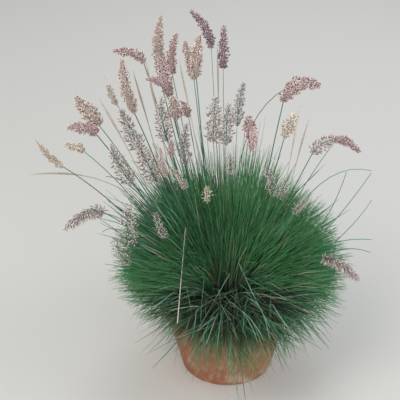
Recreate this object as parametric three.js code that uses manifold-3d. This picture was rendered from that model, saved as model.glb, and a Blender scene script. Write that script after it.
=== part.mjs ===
// Potted ruby grass: a clump of fine leaves in a plain clay pot, with silky flower heads on thin stalks.
// Units are millimetres and +Z is up. The origin is the middle of the pot's underside, and the front is -Y.
import * as THREE from "three";
import { mergeVertices } from "three/addons/utils/BufferGeometryUtils.js";
import Module from "manifold-3d";

const wasm = await Module();
wasm.setup();

// Driving dimensions of the pot, the soil and the root crown.
const POT = { height: 160, rim: 125, shoulder: 116, foot: 84, wall: 7, floor: 9, band: 32, edge: 2.5 };
const POT_FACETS = 36;
const DRAIN = { count: 4, radius: 6.5, ring: 44, facets: 12 };
const GAP = 0.3;
const SOIL_TOP = POT.height - 18;
const CROWN = { radius: 54, depth: 24, rise: 5, inner: 4, seam: 0.5 };

// The crowded bases of the leaves: a pleated core above the crown, as [radius, height above the soil].
const CORE = { pleats: 4, fold: 0.8, profile: [[53.8, 2], [58, 22], [61, 44], [51, 66], [22, 80]] };
const TUFTS = ["right", "back_right", "back", "back_left", "left", "front_left", "front", "front_right"];
const TUFT_ANGLE = (2 * Math.PI) / TUFTS.length;

// Leaf blades: keeled underneath and thickened to be solid. Stray is how far one turns from its root's way.
const BLADE = { perTuft: 31, width: 2.7, keel: 1.2, segments: 3, sink: 12, stray: 0.12, tries: 90 };
const STRAIGHT_LEAN = THREE.MathUtils.degToRad(26);

// The mound of leaves: how far it reaches at the top, and low down towards each tuft in turn.
const MOUND = { top: 268, low: [214, 214, 200, 180, 165, 165, 208, 206], mostLean: 92, startLean: 0.7 };
const STALK = { radius: 1.0, segments: 5, sink: 14, arch: 0.16 };
const STRAW = { width: 3.2, keel: 1.4, segments: 6, arch: 0.3, peg: 5, pegDepth: 20, stub: 5, ring: 66 };
const CLEAR = 0.6;

// The place that the plant is seen from: every head is set where it appears from there.
const EYE = { elevation: THREE.MathUtils.degToRad(28), distance: 2200, across: -51, up: 211 };

// How the forms of flower head differ. Core is the share of the radius that the spikelets stand on,
// rise the distance between their rows, lift how far they lean forward, and belly where the head is widest.
const FORMS = {
  plume: { core: 0.5, rise: 8.5, lift: 0.45, belly: 0.38, end: 0.5 },
  open: { core: 0.24, rise: 9.5, lift: 0.75, belly: 0.2, end: 0.28 },
  wisp: { core: 0.3, rise: 9, lift: 0.3, belly: 0.5, end: 0.6 },
};

// The flower heads: name, form, colour, then where the base and the tip appear (across to the right of the
// crown's middle, up above it, and the real distance back from the pot's axis), and the head's radius.
const HEADS = [
  ["head_01", "plume", "cream", [-131, 432, 120], [-123, 520, 150], 10.5],
  ["head_02", "plume", "pink", [-107, 371, -20], [-131, 446, 0], 11.5],
  ["head_03", "plume", "pink", [-106, 413, 60], [-94, 490, 75], 10.5],
  ["head_04", "plume", "pink", [-122, 392, -75], [-151, 404, -92], 6.5],
  ["head_05", "plume", "pink", [-155, 434, 60], [-211, 457, 70], 8.5],
  ["head_06", "plume", "cream", [-173, 342, -30], [-194, 429, -20], 10.5],
  ["head_07", "wisp", "dried", [-205, 357, 130], [-226, 402, 150], 6],
  ["head_08", "plume", "pink", [-237, 317, 40], [-282, 371, 50], 12],
  ["head_09", "plume", "pink", [-243, 301, -70], [-296, 314, -92], 10],
  ["head_10", "plume", "cream", [-266, 270, 110], [-302, 282, 125], 9],
  ["head_11", "wisp", "dried", [-306, 242, -20], [-358, 293, -25], 7.5],
  ["head_12", "open", "mauve", [-230, 157, -60], [-301, 126, -80], 8],
  ["head_13", "open", "silver", [-163, 275, -60], [-198, 346, -75], 14],
  ["head_14", "open", "silver", [-131, 214, -110], [-166, 291, -135], 15],
  ["head_15", "open", "silver", [-178, 211, -95], [-216, 280, -115], 14],
  ["head_16", "open", "silver", [-112, 290, -90], [-123, 368, -105], 14],
  ["head_17", "plume", "cream", [-97, 333, 0], [-103, 371, -8], 9.5],
  ["head_18", "plume", "pink", [-72, 334, 80], [-87, 364, 92], 8.5],
  ["head_19", "plume", "pink", [-102, 262, -150], [-104, 292, -160], 7],
  ["head_20", "open", "silver", [-77, 246, -45], [-75, 320, -50], 11],
  ["head_21", "plume", "pink", [-61, 406, 60], [-78, 471, 66], 9.5],
  ["head_22", "plume", "cream", [-58, 408, -20], [-51, 484, -26], 11.5],
  ["head_23", "plume", "mauve", [-30, 462, 150], [-68, 531, 172], 9],
  ["head_24", "plume", "mauve", [-8, 424, 95], [-6, 502, 108], 9],
  ["head_25", "open", "silver", [-26, 288, -60], [-21, 370, -70], 15],
  ["head_26", "open", "silver", [-3, 283, 25], [3, 357, 30], 13.5],
  ["head_27", "open", "silver", [18, 318, 160], [30, 397, 180], 10.5],
  ["head_28", "plume", "pink", [41, 325, -85], [46, 271, -135], 11.5],
  ["head_29", "plume", "pink", [104, 363, -30], [130, 393, -36], 9],
  ["head_30", "plume", "pink", [110, 390, 110], [173, 395, 125], 12],
  ["head_31", "wisp", "dried", [106, 296, -65], [139, 355, -80], 7.5],
  ["head_32", "open", "silver", [158, 266, 0], [208, 296, 5], 12],
  ["head_33", "plume", "pink", [200, 288, 110], [246, 270, 120], 9],
  ["head_34", "open", "mauve", [178, 70, -110], [245, 31, -130], 9],
  ["head_35", "open", "silver", [96, 184, -100], [109, 216, -110], 10],
  ["head_36", "plume", "pink", [126, 157, -150], [151, 182, -165], 6.5],
  ["head_37", "open", "silver", [6, 229, -140], [5, 266, -155], 9],
  ["head_38", "open", "silver", [82, 189, -75], [70, 239, -84], 10],
  ["head_39", "plume", "pink", [-78, 203, -195], [-104, 239, -212], 6.5],
  ["head_40", "plume", "pink", [-114, 224, -165], [-128, 276, -180], 6.5],
  ["head_41", "open", "silver", [-115, 112, -200], [-134, 156, -215], 8.5],
  ["head_42", "open", "silver", [-179, 108, -150], [-192, 166, -165], 11],
  ["head_43", "open", "silver", [-182, 67, -115], [-206, 104, -122], 10],
  ["head_44", "wisp", "dried", [-38, 180, -215], [-37, 204, -225], 5.5],
];

// Long leaves that stand out of the mound: where each one's bend and tip appear.
const LONG_LEAVES = [
  [[150, 268, 30], [269, 234, 40]],
  [[178, 92, 62], [222, 232, 80]],
  [[175, 95, -20], [268, 230, -10]],
  [[205, 80, 20], [269, 180, 30]],
  [[150, 118, -48], [269, 106, -80]],
  [[180, 118, -95], [267, 82, -135]],
  [[-205, 195, -40], [-256, 146, -60]],
];

// Dead straws in bunches, each bunch standing in its own hole: the hole's angle, and where each tip appears.
const STRAWS = [
  ["straws_left", 168, [[-240, 371, 20], [-371, 227, 0], [-176, 422, 75], [-152, 440, 40]]],
  ["straws_back", 100, [[-19, 472, 120], [-90, 440, 170]]],
  ["straws_right", 0, [[136, 347, 20], [152, 331, 60]]],
];

// A repeatable random number source.
function randomSource(seed) {
  let state = seed >>> 0;
  return () => {
    state = (state + 0x6d2b79f5) >>> 0;
    let t = Math.imul(state ^ (state >>> 15), 1 | state);
    t = (t + Math.imul(t ^ (t >>> 7), 61 | t)) ^ t;
    return ((t ^ (t >>> 14)) >>> 0) / 4294967296;
  };
}

const lerp = THREE.MathUtils.lerp;
const radians = THREE.MathUtils.degToRad;

// The point that appears at (across, up) from the eye, at the real distance y back from the pot's axis.
function asSeen([across, up, y]) {
  const sine = Math.sin(EYE.elevation);
  const cosine = Math.cos(EYE.elevation);
  const share =
    (y - EYE.up * sine + EYE.distance * cosine) / ((up - EYE.up) * sine + EYE.distance * cosine);
  const seenUp = EYE.up + share * (up - EYE.up);
  const toward = EYE.distance * (1 - share);
  return new THREE.Vector3(
    EYE.across + share * (across - EYE.across),
    seenUp * sine - toward * cosine,
    SOIL_TOP + seenUp * cosine + toward * sine,
  );
}

// A closed skin over rings of points, with a flat start and either a point or a flat end.
function skin(rings, tip) {
  const sides = rings[0].length;
  const vertices = rings.flat();
  const faces = [];
  const at = (ring, side) => ring * sides + (side % sides);
  for (let ring = 0; ring + 1 < rings.length; ring++)
    for (let side = 0; side < sides; side++) {
      const [a, b, c, d] = [at(ring, side), at(ring, side + 1), at(ring + 1, side + 1), at(ring + 1, side)];
      const rising = vertices[a].distanceTo(vertices[c]);
      const falling = vertices[b].distanceTo(vertices[d]);
      // The short diagonal joins the two low corners, so that a raised corner stays a separate point.
      if (rising <= falling) faces.push(a, b, c, a, c, d);
      else faces.push(a, b, d, b, c, d);
    }
  for (let side = 1; side + 1 < sides; side++) faces.push(at(0, 0), at(0, side + 1), at(0, side));
  const last = rings.length - 1;
  if (tip) {
    const end = vertices.push(tip) - 1;
    for (let side = 0; side < sides; side++) faces.push(at(last, side), at(last, side + 1), end);
  } else {
    for (let side = 1; side + 1 < sides; side++) faces.push(at(last, 0), at(last, side), at(last, side + 1));
  }
  const geometry = new THREE.BufferGeometry().setFromPoints(vertices);
  return geometry.setIndex(faces);
}

// A closed geometry as a solid that can be joined and cut.
function solidOf(geometry) {
  const bare = geometry.clone();
  bare.deleteAttribute("normal");
  bare.deleteAttribute("uv");
  const merged = mergeVertices(bare, 1e-4);
  return new wasm.Manifold(
    new wasm.Mesh({
      numProp: 3,
      vertProperties: new Float32Array(merged.attributes.position.array),
      triVerts: new Uint32Array(merged.index.array),
    }),
  );
}

function joined(solids) {
  return solids.reduce((sum, next) => sum.add(next));
}

function meshOf(name, solid, material) {
  const made = solid.getMesh();
  const geometry = new THREE.BufferGeometry();
  geometry.setAttribute("position", new THREE.BufferAttribute(new Float32Array(made.vertProperties), 3));
  geometry.setIndex(new THREE.BufferAttribute(new Uint32Array(made.triVerts), 1));
  geometry.computeVertexNormals();
  const mesh = new THREE.Mesh(geometry, material);
  mesh.name = name;
  return mesh;
}

// A solid of revolution about +Z from [radius, height] pairs that start and end on the axis.
function turned(profile, facets) {
  const points = profile.map(([radius, height]) => new THREE.Vector2(radius, height));
  return solidOf(new THREE.LatheGeometry(points, facets).rotateX(Math.PI / 2));
}

function uprightPin(x, y, bottom, top, radius, facets) {
  const pin = new THREE.CylinderGeometry(radius, radius, top - bottom, facets).rotateX(Math.PI / 2);
  return solidOf(pin.translate(x, y, (top + bottom) / 2));
}

// The sideways direction of the upright plane that holds a line's two ends.
function sideOf(from, to) {
  const run = new THREE.Vector3(to.x - from.x, to.y - from.y, 0);
  if (run.length() < 1e-6) run.set(1, 0, 0);
  run.normalize();
  return new THREE.Vector3(-run.y, run.x, 0);
}

// The direction of a line of points at one of them.
function headingAt(points, index) {
  const before = points[Math.max(index - 1, 0)];
  const after = points[Math.min(index + 1, points.length - 1)];
  return after.clone().sub(before).normalize();
}

// A blade or stalk along a line: three-sided, keeled underneath, with its width shaped along it.
function strip(points, side, width, keel, widthAt, pointed) {
  const rings = [];
  const ringCount = pointed ? points.length - 1 : points.length;
  for (let i = 0; i < ringCount; i++) {
    const heading = headingAt(points, i);
    const across = side.clone().addScaledVector(heading, -side.dot(heading)).normalize();
    const inner = heading.clone().cross(across);
    const scale = widthAt(i / (points.length - 1));
    const half = across.multiplyScalar((width / 2) * scale);
    rings.push([
      points[i].clone().add(half).addScaledVector(inner, keel * 0.3 * scale),
      points[i].clone().sub(half).addScaledVector(inner, keel * 0.3 * scale),
      points[i].clone().addScaledVector(inner, -keel * 0.7 * scale),
    ]);
  }
  return solidOf(skin(rings, pointed ? points[points.length - 1] : null));
}

// How the widths of a blade, a stalk and a straw change along them.
const bladeTaper = (share) => (share < 0.3 ? lerp(0.8, 1, share / 0.3) : lerp(1, 0.5, (share - 0.3) / 0.7));
const stalkTaper = (share) => lerp(1.15, 0.85, share);
const strawTaper = (share) => lerp(1, 0.55, share);

// Distance between two straight stretches.
function stretchDistance(p1, q1, p2, q2) {
  const d1 = q1.clone().sub(p1);
  const d2 = q2.clone().sub(p2);
  const r = p1.clone().sub(p2);
  const a = d1.dot(d1);
  const e = d2.dot(d2);
  const f = d2.dot(r);
  const c = d1.dot(r);
  const b = d1.dot(d2);
  const denominator = a * e - b * b;
  let s = denominator > 1e-9 ? THREE.MathUtils.clamp((b * f - c * e) / denominator, 0, 1) : 0;
  let t = (b * s + f) / e;
  if (t < 0) {
    t = 0;
    s = THREE.MathUtils.clamp(-c / a, 0, 1);
  } else if (t > 1) {
    t = 1;
    s = THREE.MathUtils.clamp((b - c) / a, 0, 1);
  }
  return p1.clone().addScaledVector(d1, s).distanceTo(p2.clone().addScaledVector(d2, t));
}

// How close two lines of points come, less the room that each takes.
function lineDistance(one, other) {
  let least = Infinity;
  for (let i = 0; i + 1 < one.points.length; i++)
    for (let j = 0; j + 1 < other.points.length; j++)
      least = Math.min(
        least,
        stretchDistance(one.points[i], one.points[i + 1], other.points[j], other.points[j + 1]),
      );
  return least - one.room - other.room;
}

// The start of a line inside the crown: inward from where it leaves the top, at the lean that it leaves with.
function sunk(foot, toward, depth) {
  const run = Math.hypot(toward.x - foot.x, toward.y - foot.y);
  const lean = Math.atan2(run, toward.z - foot.z);
  const inward = onRing(depth * Math.sin(lean), Math.atan2(foot.y, foot.x), depth * Math.cos(lean));
  return foot.clone().sub(inward);
}

// Points along a curve that bends once, from start to end.
function bent(start, knee, end, segments) {
  return new THREE.QuadraticBezierCurve3(start, knee, end).getPoints(segments);
}

// The tuft whose wedge holds a direction.
function tuftAt(angle) {
  const turn = Math.round(angle / TUFT_ANGLE);
  return (turn + TUFTS.length) % TUFTS.length;
}

// A direction kept far enough inside its tuft's wedge at a radius for something that takes some room.
function insideTuft(tuft, angle, radius, room) {
  const middle = tuft * TUFT_ANGLE;
  const offset = Math.atan2(Math.sin(angle - middle), Math.cos(angle - middle));
  const most = TUFT_ANGLE / 2 - Math.asin(Math.min((room + CROWN.seam) / radius, 0.38));
  return middle + THREE.MathUtils.clamp(offset, -most, most);
}

function onRing(radius, angle, height) {
  return new THREE.Vector3(radius * Math.cos(angle), radius * Math.sin(angle), height);
}

// Where a flower stalk leaves the crown, how it arches, and where its head bends over.
function stalkAndHead([name, form, colour, baseSeen, tipSeen, radius]) {
  const base = asSeen(baseSeen);
  const tip = asSeen(tipSeen);
  const reach = Math.hypot(base.x, base.y);
  const angle = Math.atan2(base.y, base.x);
  const tuft = tuftAt(angle);
  const footRadius = lerp(16, CROWN.radius - 10, Math.min(reach / 260, 1));
  const footAngle = insideTuft(tuft, angle, footRadius - STALK.sink * 0.7, STALK.radius * 2);
  const foot = onRing(footRadius, footAngle, SOIL_TOP + CROWN.rise);
  const knee = foot.clone().lerp(base, 0.55);
  knee.z += STALK.arch * reach;
  const stalk = [sunk(foot, knee, STALK.sink), ...bent(foot, knee, base, STALK.segments).slice(1)];
  const heading = base.clone().sub(knee).normalize();
  const length = base.distanceTo(tip);
  const bow = base.clone().addScaledVector(heading, length * 0.5);
  const start = base.clone().addScaledVector(heading, GAP);
  return { name, form, colour, radius, tuft, stalk, start, bow, tip, length, side: sideOf(foot, base) };
}

// How wide a head is along its length, as a share of its radius.
function fullness(form, share) {
  const { belly, end } = FORMS[form];
  if (share < belly) return Math.sin(((0.25 + (0.75 * share) / belly) * Math.PI) / 2);
  return lerp(1, end, Math.pow((share - belly) / (1 - belly), 1.4));
}

// A flower head: rows of spikelets raised from a slim core, with every other corner pulled out to a point.
function headSolid(head, random) {
  const { core, rise, lift } = FORMS[head.form];
  const rows = Math.max(4, Math.round(head.length / rise));
  const sides = head.radius > 10 ? 8 : 6;
  const curve = new THREE.QuadraticBezierCurve3(head.start, head.bow, head.tip);
  const ringAt = (centre, heading, radiusAt) => {
    const across = head.side.clone().addScaledVector(heading, -head.side.dot(heading)).normalize();
    const inner = heading.clone().cross(across);
    return Array.from({ length: sides }, (_, side) => {
      const turn = (side / sides) * 2 * Math.PI;
      const [out, forward] = radiusAt(side);
      return centre
        .clone()
        .addScaledVector(across, out * Math.cos(turn))
        .addScaledVector(inner, out * Math.sin(turn))
        .addScaledVector(heading, forward);
    });
  };
  const rings = [ringAt(head.start, curve.getTangent(0), () => [STALK.radius, 0])];
  for (let row = 0; row < rows; row++) {
    const share = (row + 0.35) / rows;
    const full = head.radius * fullness(head.form, share);
    const ring = ringAt(curve.getPointAt(share), curve.getTangentAt(share), (side) => {
      if ((row + side) % 2) return [Math.max(core * full, STALK.radius), 0];
      return [full * lerp(0.82, 1.1, random()), row ? lift * rise : 0.1 * rise];
    });
    rings.push(ring);
  }
  return solidOf(skin(rings, head.tip));
}

// A line of blade that leaves the crown at one lean and bends further over along its length.
function bladeLine(foot, angle, lean, bend, length) {
  const points = [foot];
  const steps = lean > STRAIGHT_LEAN ? BLADE.segments : BLADE.segments - 1;
  for (let i = 0; i < steps; i++) {
    const tilt = lean + bend * Math.pow((i + 0.5) / steps, 1.3);
    const step = length / steps;
    points.push(points[i].clone().add(onRing(step * Math.sin(tilt), angle, step * Math.cos(tilt))));
  }
  points[0] = sunk(foot, points[1], BLADE.sink);
  return points;
}

// A long leaf's line, from the edge of the crown to where its tip appears.
function longLeaf([kneeSeen, tipSeen]) {
  const knee = asSeen(kneeSeen);
  const tip = asSeen(tipSeen);
  const angle = Math.atan2(tip.y, tip.x);
  const tuft = tuftAt(angle);
  const footRadius = CROWN.radius - 8;
  const footAngle = insideTuft(tuft, angle, footRadius - BLADE.sink, BLADE.width);
  const foot = onRing(footRadius, footAngle, SOIL_TOP + CROWN.rise);
  const points = bent(foot, knee, tip, STALK.segments);
  points[0] = sunk(foot, points[1], BLADE.sink);
  return { tuft, points, side: sideOf(foot, tip) };
}

// How far the mound of blades reaches: the same all round above, and by the direction where it hangs low.
function moundReach(angle, lean) {
  const place = (angle / TUFT_ANGLE + TUFTS.length) % TUFTS.length;
  const before = Math.floor(place);
  const lowest = lerp(MOUND.low[before], MOUND.low[(before + 1) % TUFTS.length], place - before);
  return lerp(MOUND.top, lowest, THREE.MathUtils.smoothstep(lean, radians(40), radians(88)));
}

// The lean of a blade, so that the blades' tips cover the dome evenly from its top down.
function evenLean(share) {
  return Math.acos(1 - share * (1 - Math.cos(radians(MOUND.mostLean))));
}

// One blade of a tuft: drawn again until it clears the rim, the heads and the straws.
function drawBlade(tuft, order, random, obstacles) {
  const share = (order + 0.5) / BLADE.perTuft;
  const middle = tuft * TUFT_ANGLE;
  for (let tried = 0; tried < BLADE.tries; tried++) {
    const lean = evenLean(share) + radians(lerp(-4, 4, random()));
    const start = lean * (MOUND.startLean + lerp(-0.08, 0.08, random()));
    const footRadius = lerp(12, CROWN.radius - 4, lean / radians(90)) + lerp(-3, 1, random());
    const rootRadius = footRadius - BLADE.sink * Math.sin(start);
    const turn = middle + lerp(-0.5, 0.5, random()) * TUFT_ANGLE;
    const footAngle = insideTuft(tuft, turn, rootRadius, BLADE.width / 2);
    const aim = insideTuft(tuft, turn + lerp(-BLADE.stray, BLADE.stray, random()), 60, BLADE.width / 2);
    const length = moundReach(aim, lean) * lerp(0.9, 1.05, random());
    const foot = onRing(footRadius, footAngle, SOIL_TOP + CROWN.rise);
    const points = bladeLine(foot, aim, start, (lean - start) * 2.3, length);
    const line = { points, room: BLADE.width / 2 };
    const clear = obstacles.every((other) => lineDistance(line, other) > CLEAR);
    if (clear && clearsRim(points)) return { points, side: sideOf(foot, points.at(-1)) };
  }
  return null;
}

// Whether a line stays above the soil and over the pot's rim, and clear of the pot's side below that.
function clearsRim(points) {
  const inside = POT.shoulder - POT.wall - 3;
  const outside = POT.rim + 4;
  for (let i = 0; i + 1 < points.length; i++)
    for (let share = 0; share <= 1; share += 0.1) {
      const point = points[i].clone().lerp(points[i + 1], share);
      const radius = Math.hypot(point.x, point.y);
      if (radius > CROWN.radius && radius < outside && point.z < SOIL_TOP + 3) return false;
      if (radius > inside && radius < outside && point.z < POT.height + 3) return false;
    }
  return true;
}

function potSolid() {
  const { height, rim, shoulder, foot, wall, floor, band, edge } = POT;
  const neck = height - band;
  const body = turned(
    [
      [0, 0],
      [foot - edge, 0],
      [foot, edge],
      [shoulder, neck],
      [rim - edge, neck],
      [rim, neck + edge],
      [rim, height - edge],
      [rim - edge, height],
      [shoulder - wall + edge, height],
      [shoulder - wall, height - edge],
      [shoulder - wall, neck],
      [foot - wall + 4, floor + 4],
      [foot - wall, floor],
      [0, floor],
    ],
    POT_FACETS,
  );
  const holes = Array.from({ length: DRAIN.count }, (_, i) => {
    const at = onRing(DRAIN.ring, ((i + 0.5) / DRAIN.count) * 2 * Math.PI, 0);
    return uprightPin(at.x, at.y, -5, floor + 5, DRAIN.radius, DRAIN.facets);
  });
  return body.subtract(joined(holes));
}

function strawFoot([, degrees]) {
  return onRing(STRAW.ring, radians(degrees), SOIL_TOP);
}

// The soil fills the pot, with a plain hole for the crown and one for each bunch of straws.
function soilSolid() {
  const { shoulder, foot, wall, floor, band, height } = POT;
  const inner = shoulder - wall - GAP;
  const holeFloor = SOIL_TOP - CROWN.depth;
  const body = turned(
    [
      [0, floor + GAP],
      [foot - wall - 1, floor + GAP],
      [foot - wall + 4 - GAP - 1, floor + 4 + GAP],
      [inner, height - band],
      [inner, SOIL_TOP - 3],
      [inner - 8, SOIL_TOP],
      [CROWN.radius + GAP, SOIL_TOP],
      [CROWN.radius + GAP, holeFloor],
      [0, holeFloor],
    ],
    POT_FACETS,
  );
  const holes = STRAWS.map((bunch) => {
    const at = strawFoot(bunch);
    return uprightPin(at.x, at.y, SOIL_TOP - STRAW.pegDepth - GAP, SOIL_TOP + 9, STRAW.peg + GAP, 8);
  });
  return body.subtract(joined(holes));
}

// One wedge of the root crown, with the crowded bases of the blades above it as a pleated core.
function crownWedge(tuft) {
  const bottom = -CROWN.depth + GAP;
  const levels = [[CROWN.radius - 0.2, bottom], ...CORE.profile];
  const middle = tuft * TUFT_ANGLE;
  const rings = levels.map(([radius, height], level) => {
    const ring = [onRing(CROWN.inner, middle, SOIL_TOP + height)];
    for (let i = 0; i <= CORE.pleats; i++) {
      const pleat = level > 1 && i % 2 ? CORE.fold : 1;
      const reach = radius * pleat;
      const half = TUFT_ANGLE / 2 - Math.asin(CROWN.seam / reach);
      ring.push(onRing(reach, middle + lerp(-half, half, i / CORE.pleats), SOIL_TOP + height));
    }
    return ring;
  });
  return solidOf(skin(rings, null));
}

// A bunch of dead straws that lean out from one peg.
function strawLines(bunch) {
  const foot = strawFoot(bunch);
  return bunch[2].map((seen, i) => {
    const start = foot.clone().add(onRing(2, i * 1.9, STRAW.stub * 0.4));
    const tip = asSeen(seen);
    const knee = start.clone().lerp(tip, 0.5);
    knee.z += STRAW.arch * Math.hypot(tip.x - start.x, tip.y - start.y);
    return bent(start, knee, tip, STRAW.segments);
  });
}

function strawSolid(bunch) {
  const foot = strawFoot(bunch);
  const peg = uprightPin(foot.x, foot.y, SOIL_TOP - STRAW.pegDepth, SOIL_TOP + STRAW.stub, STRAW.peg, 8);
  const straws = strawLines(bunch).map((points) =>
    strip(points, sideOf(points[0], points.at(-1)), STRAW.width, STRAW.keel, strawTaper, true),
  );
  return joined([peg, ...straws]);
}

const material = (color, roughness) => new THREE.MeshStandardMaterial({ color, roughness, metalness: 0 });
const CLAY = material("#b3694a", 0.85);
const SOIL = material("#3a2d25", 0.95);
const LEAF = material("#3f7a54", 0.55);
const STRAW_TAN = material("#b7a58c", 0.7);
const HEAD_COLOURS = {
  cream: material("#cdbcae", 0.8),
  pink: material("#c9a5a3", 0.8),
  mauve: material("#94797f", 0.8),
  silver: material("#a3979a", 0.8),
  dried: material("#cfc1a6", 0.85),
};

const plant = new THREE.Group();
plant.add(meshOf("pot", potSolid(), CLAY));
plant.add(meshOf("soil", soilSolid(), SOIL));

const heads = HEADS.map(stalkAndHead);
const headLines = heads.map((head) => ({
  points: bent(head.start, head.bow, head.tip, 4),
  room: head.radius * 1.12,
}));
const longLeaves = LONG_LEAVES.map(longLeaf);
const strawRuns = STRAWS.flatMap(strawLines).map((points) => ({ points, room: STRAW.width / 2 }));
const obstacles = [...headLines, ...strawRuns];

TUFTS.forEach((name, tuft) => {
  const random = randomSource(101 + tuft);
  const own = heads.filter((head) => head.tuft === tuft);
  const pieces = [crownWedge(tuft)];
  for (const head of own)
    pieces.push(strip(head.stalk, head.side, STALK.radius * 2, STALK.radius * 1.8, stalkTaper, false));
  const leaves = longLeaves.filter((leaf) => leaf.tuft === tuft);
  for (let order = 0; order < BLADE.perTuft; order++) leaves.push(drawBlade(tuft, order, random, obstacles));
  for (const leaf of leaves)
    if (leaf) pieces.push(strip(leaf.points, leaf.side, BLADE.width, BLADE.keel, bladeTaper, true));
  plant.add(meshOf("tuft_" + name, joined(pieces), LEAF));
});

heads.forEach((head, i) => {
  plant.add(meshOf(head.name, headSolid(head, randomSource(501 + i)), HEAD_COLOURS[head.colour]));
});

for (const bunch of STRAWS) plant.add(meshOf(bunch[0], strawSolid(bunch), STRAW_TAN));

export default plant;
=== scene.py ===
# %% [markdown]
# # A potted ruby grass in Blender
#
# Ruby grass is a dense tussock: thousands of fine blue-green leaves rise from one root crown and arch
# outwards, and thin stalks carry silky pink and cream flower heads above them. This lesson dresses a
# plain solid model of the plant with its real surface. The solid model gives every size and place, so it
# is loaded first.

import math
import random

import bmesh
import bpy
from mathutils import Matrix, Vector, noise


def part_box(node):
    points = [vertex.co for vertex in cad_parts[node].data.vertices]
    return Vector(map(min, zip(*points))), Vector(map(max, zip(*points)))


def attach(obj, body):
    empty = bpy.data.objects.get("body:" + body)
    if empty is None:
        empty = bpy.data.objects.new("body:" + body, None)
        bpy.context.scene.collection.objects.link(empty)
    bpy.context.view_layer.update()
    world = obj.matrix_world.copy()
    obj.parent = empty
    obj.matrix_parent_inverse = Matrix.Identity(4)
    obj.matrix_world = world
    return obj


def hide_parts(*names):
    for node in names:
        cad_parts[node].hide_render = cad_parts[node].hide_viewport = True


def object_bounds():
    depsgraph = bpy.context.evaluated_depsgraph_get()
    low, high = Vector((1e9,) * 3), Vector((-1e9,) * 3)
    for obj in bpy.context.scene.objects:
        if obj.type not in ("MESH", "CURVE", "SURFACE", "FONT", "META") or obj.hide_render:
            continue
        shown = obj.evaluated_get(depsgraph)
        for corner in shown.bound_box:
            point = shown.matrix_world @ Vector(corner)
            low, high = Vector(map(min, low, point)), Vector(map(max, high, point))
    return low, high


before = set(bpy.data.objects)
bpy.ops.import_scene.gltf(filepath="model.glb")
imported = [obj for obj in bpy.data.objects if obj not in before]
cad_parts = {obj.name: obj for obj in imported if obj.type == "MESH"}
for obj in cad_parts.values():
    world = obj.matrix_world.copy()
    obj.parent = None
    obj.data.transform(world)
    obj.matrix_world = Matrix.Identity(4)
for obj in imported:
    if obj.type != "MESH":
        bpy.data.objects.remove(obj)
solid_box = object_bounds()
MM = 0.001
solid_corners = [tuple(round(c, 3) for c in p) for p in solid_box]
print("solid model:", len(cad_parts), "nodes, corners at", solid_corners)

# %% [markdown]
# ## The driving sizes
#
# The plant grows by a few rules, and the solid model follows the same ones. The pot and the soil can be
# measured from the solids. The leaves' rules are repeated here: where the crown is, how far the mound of
# leaves reaches in each direction, and how far over its outermost leaves hang.

# %% Sizes of the pot, the crown and the mound
pot_low, pot_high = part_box("pot")
soil_low, soil_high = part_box("soil")
SOIL_TOP = soil_high.z
POT_HEIGHT = pot_high.z
RIM = pot_high.x
WALL, FLOOR, BAND, EDGE = 7 * MM, 9 * MM, 32 * MM, 2.5 * MM
SHOULDER, FOOT = 116 * MM, 84 * MM
CROWN = Vector((0, 0, SOIL_TOP + 5 * MM))
CROWN_RADIUS = 54 * MM
TUFTS = ["right", "back_right", "back", "back_left", "left", "front_left", "front", "front_right"]
TUFT_ANGLE = math.tau / len(TUFTS)
MOUND_TOP, MOUND_SLOPE = 288 * MM, 240 * MM
MOUND_LOW = [reach * MM for reach in (208, 226, 238, 222, 186, 172, 236, 204)]
MOST_LEAN = math.radians(92)
print(f"soil {SOIL_TOP / MM:.0f} mm up, rim {RIM / MM:.0f} mm out, mound {MOUND_TOP / MM:.0f} mm high")


def lerp(a, b, share):
    return a + (b - a) * share


def smoothstep(value, low, high):
    share = min(max((value - low) / (high - low), 0), 1)
    return share * share * (3 - 2 * share)


def on_ring(radius, angle, height):
    return Vector((radius * math.cos(angle), radius * math.sin(angle), height))


def bent(start, knee, end, steps):
    """Points along a curve that bends once."""
    return [
        start * (1 - s) ** 2 + knee * 2 * s * (1 - s) + end * s * s
        for s in (i / steps for i in range(steps + 1))
    ]


# %% [markdown]
# ## The camera and the light
#
# The plant is seen from 28 degrees above, from a little over two metres away. The camera stands where the
# eye stood, and is only turned down a little and given a wider lens, so that the pot comes into the
# picture too. Four soft boxes light it, the strongest of them high on the left, and a pale sky fills the
# shadows.

# %% Camera
EYE_RISE = math.radians(28)
EYE_DISTANCE = 2.2
EYE_ACROSS, EYE_UP = -51 * MM, 211 * MM
AIM_UP = 180 * MM
PICTURE_WIDTH = 745 * MM
SENSOR = 36
up_of_view = Vector((0, math.sin(EYE_RISE), math.cos(EYE_RISE)))
toward_eye = Vector((0, -math.cos(EYE_RISE), math.sin(EYE_RISE)))
soil_middle = Vector((0, 0, SOIL_TOP))
eye = soil_middle + Vector((EYE_ACROSS, 0, 0)) + up_of_view * EYE_UP + toward_eye * EYE_DISTANCE
aim = soil_middle + Vector((EYE_ACROSS, 0, 0)) + up_of_view * AIM_UP
camera = bpy.data.objects.new("camera", bpy.data.cameras.new("camera"))
camera.data.sensor_width = SENSOR
camera.data.lens = SENSOR * EYE_DISTANCE / PICTURE_WIDTH
camera.location = eye
camera.rotation_mode = "QUATERNION"
camera.rotation_quaternion = (aim - eye).to_track_quat("-Z", "Y")
bpy.context.scene.collection.objects.link(camera)
bpy.context.scene.camera = camera
print(f"lens {camera.data.lens:.1f} mm, eye at", [round(c, 2) for c in eye])


# %% One way to read a colour, to add a node and to keep a mesh
def linear(colour):
    """An sRGB hex colour as the linear numbers that shaders work in."""
    parts = [int(colour[i : i + 2], 16) / 255 for i in (1, 3, 5)]
    return [c / 12.92 if c <= 0.04045 else ((c + 0.055) / 1.055) ** 2.4 for c in parts] + [1]


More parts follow.
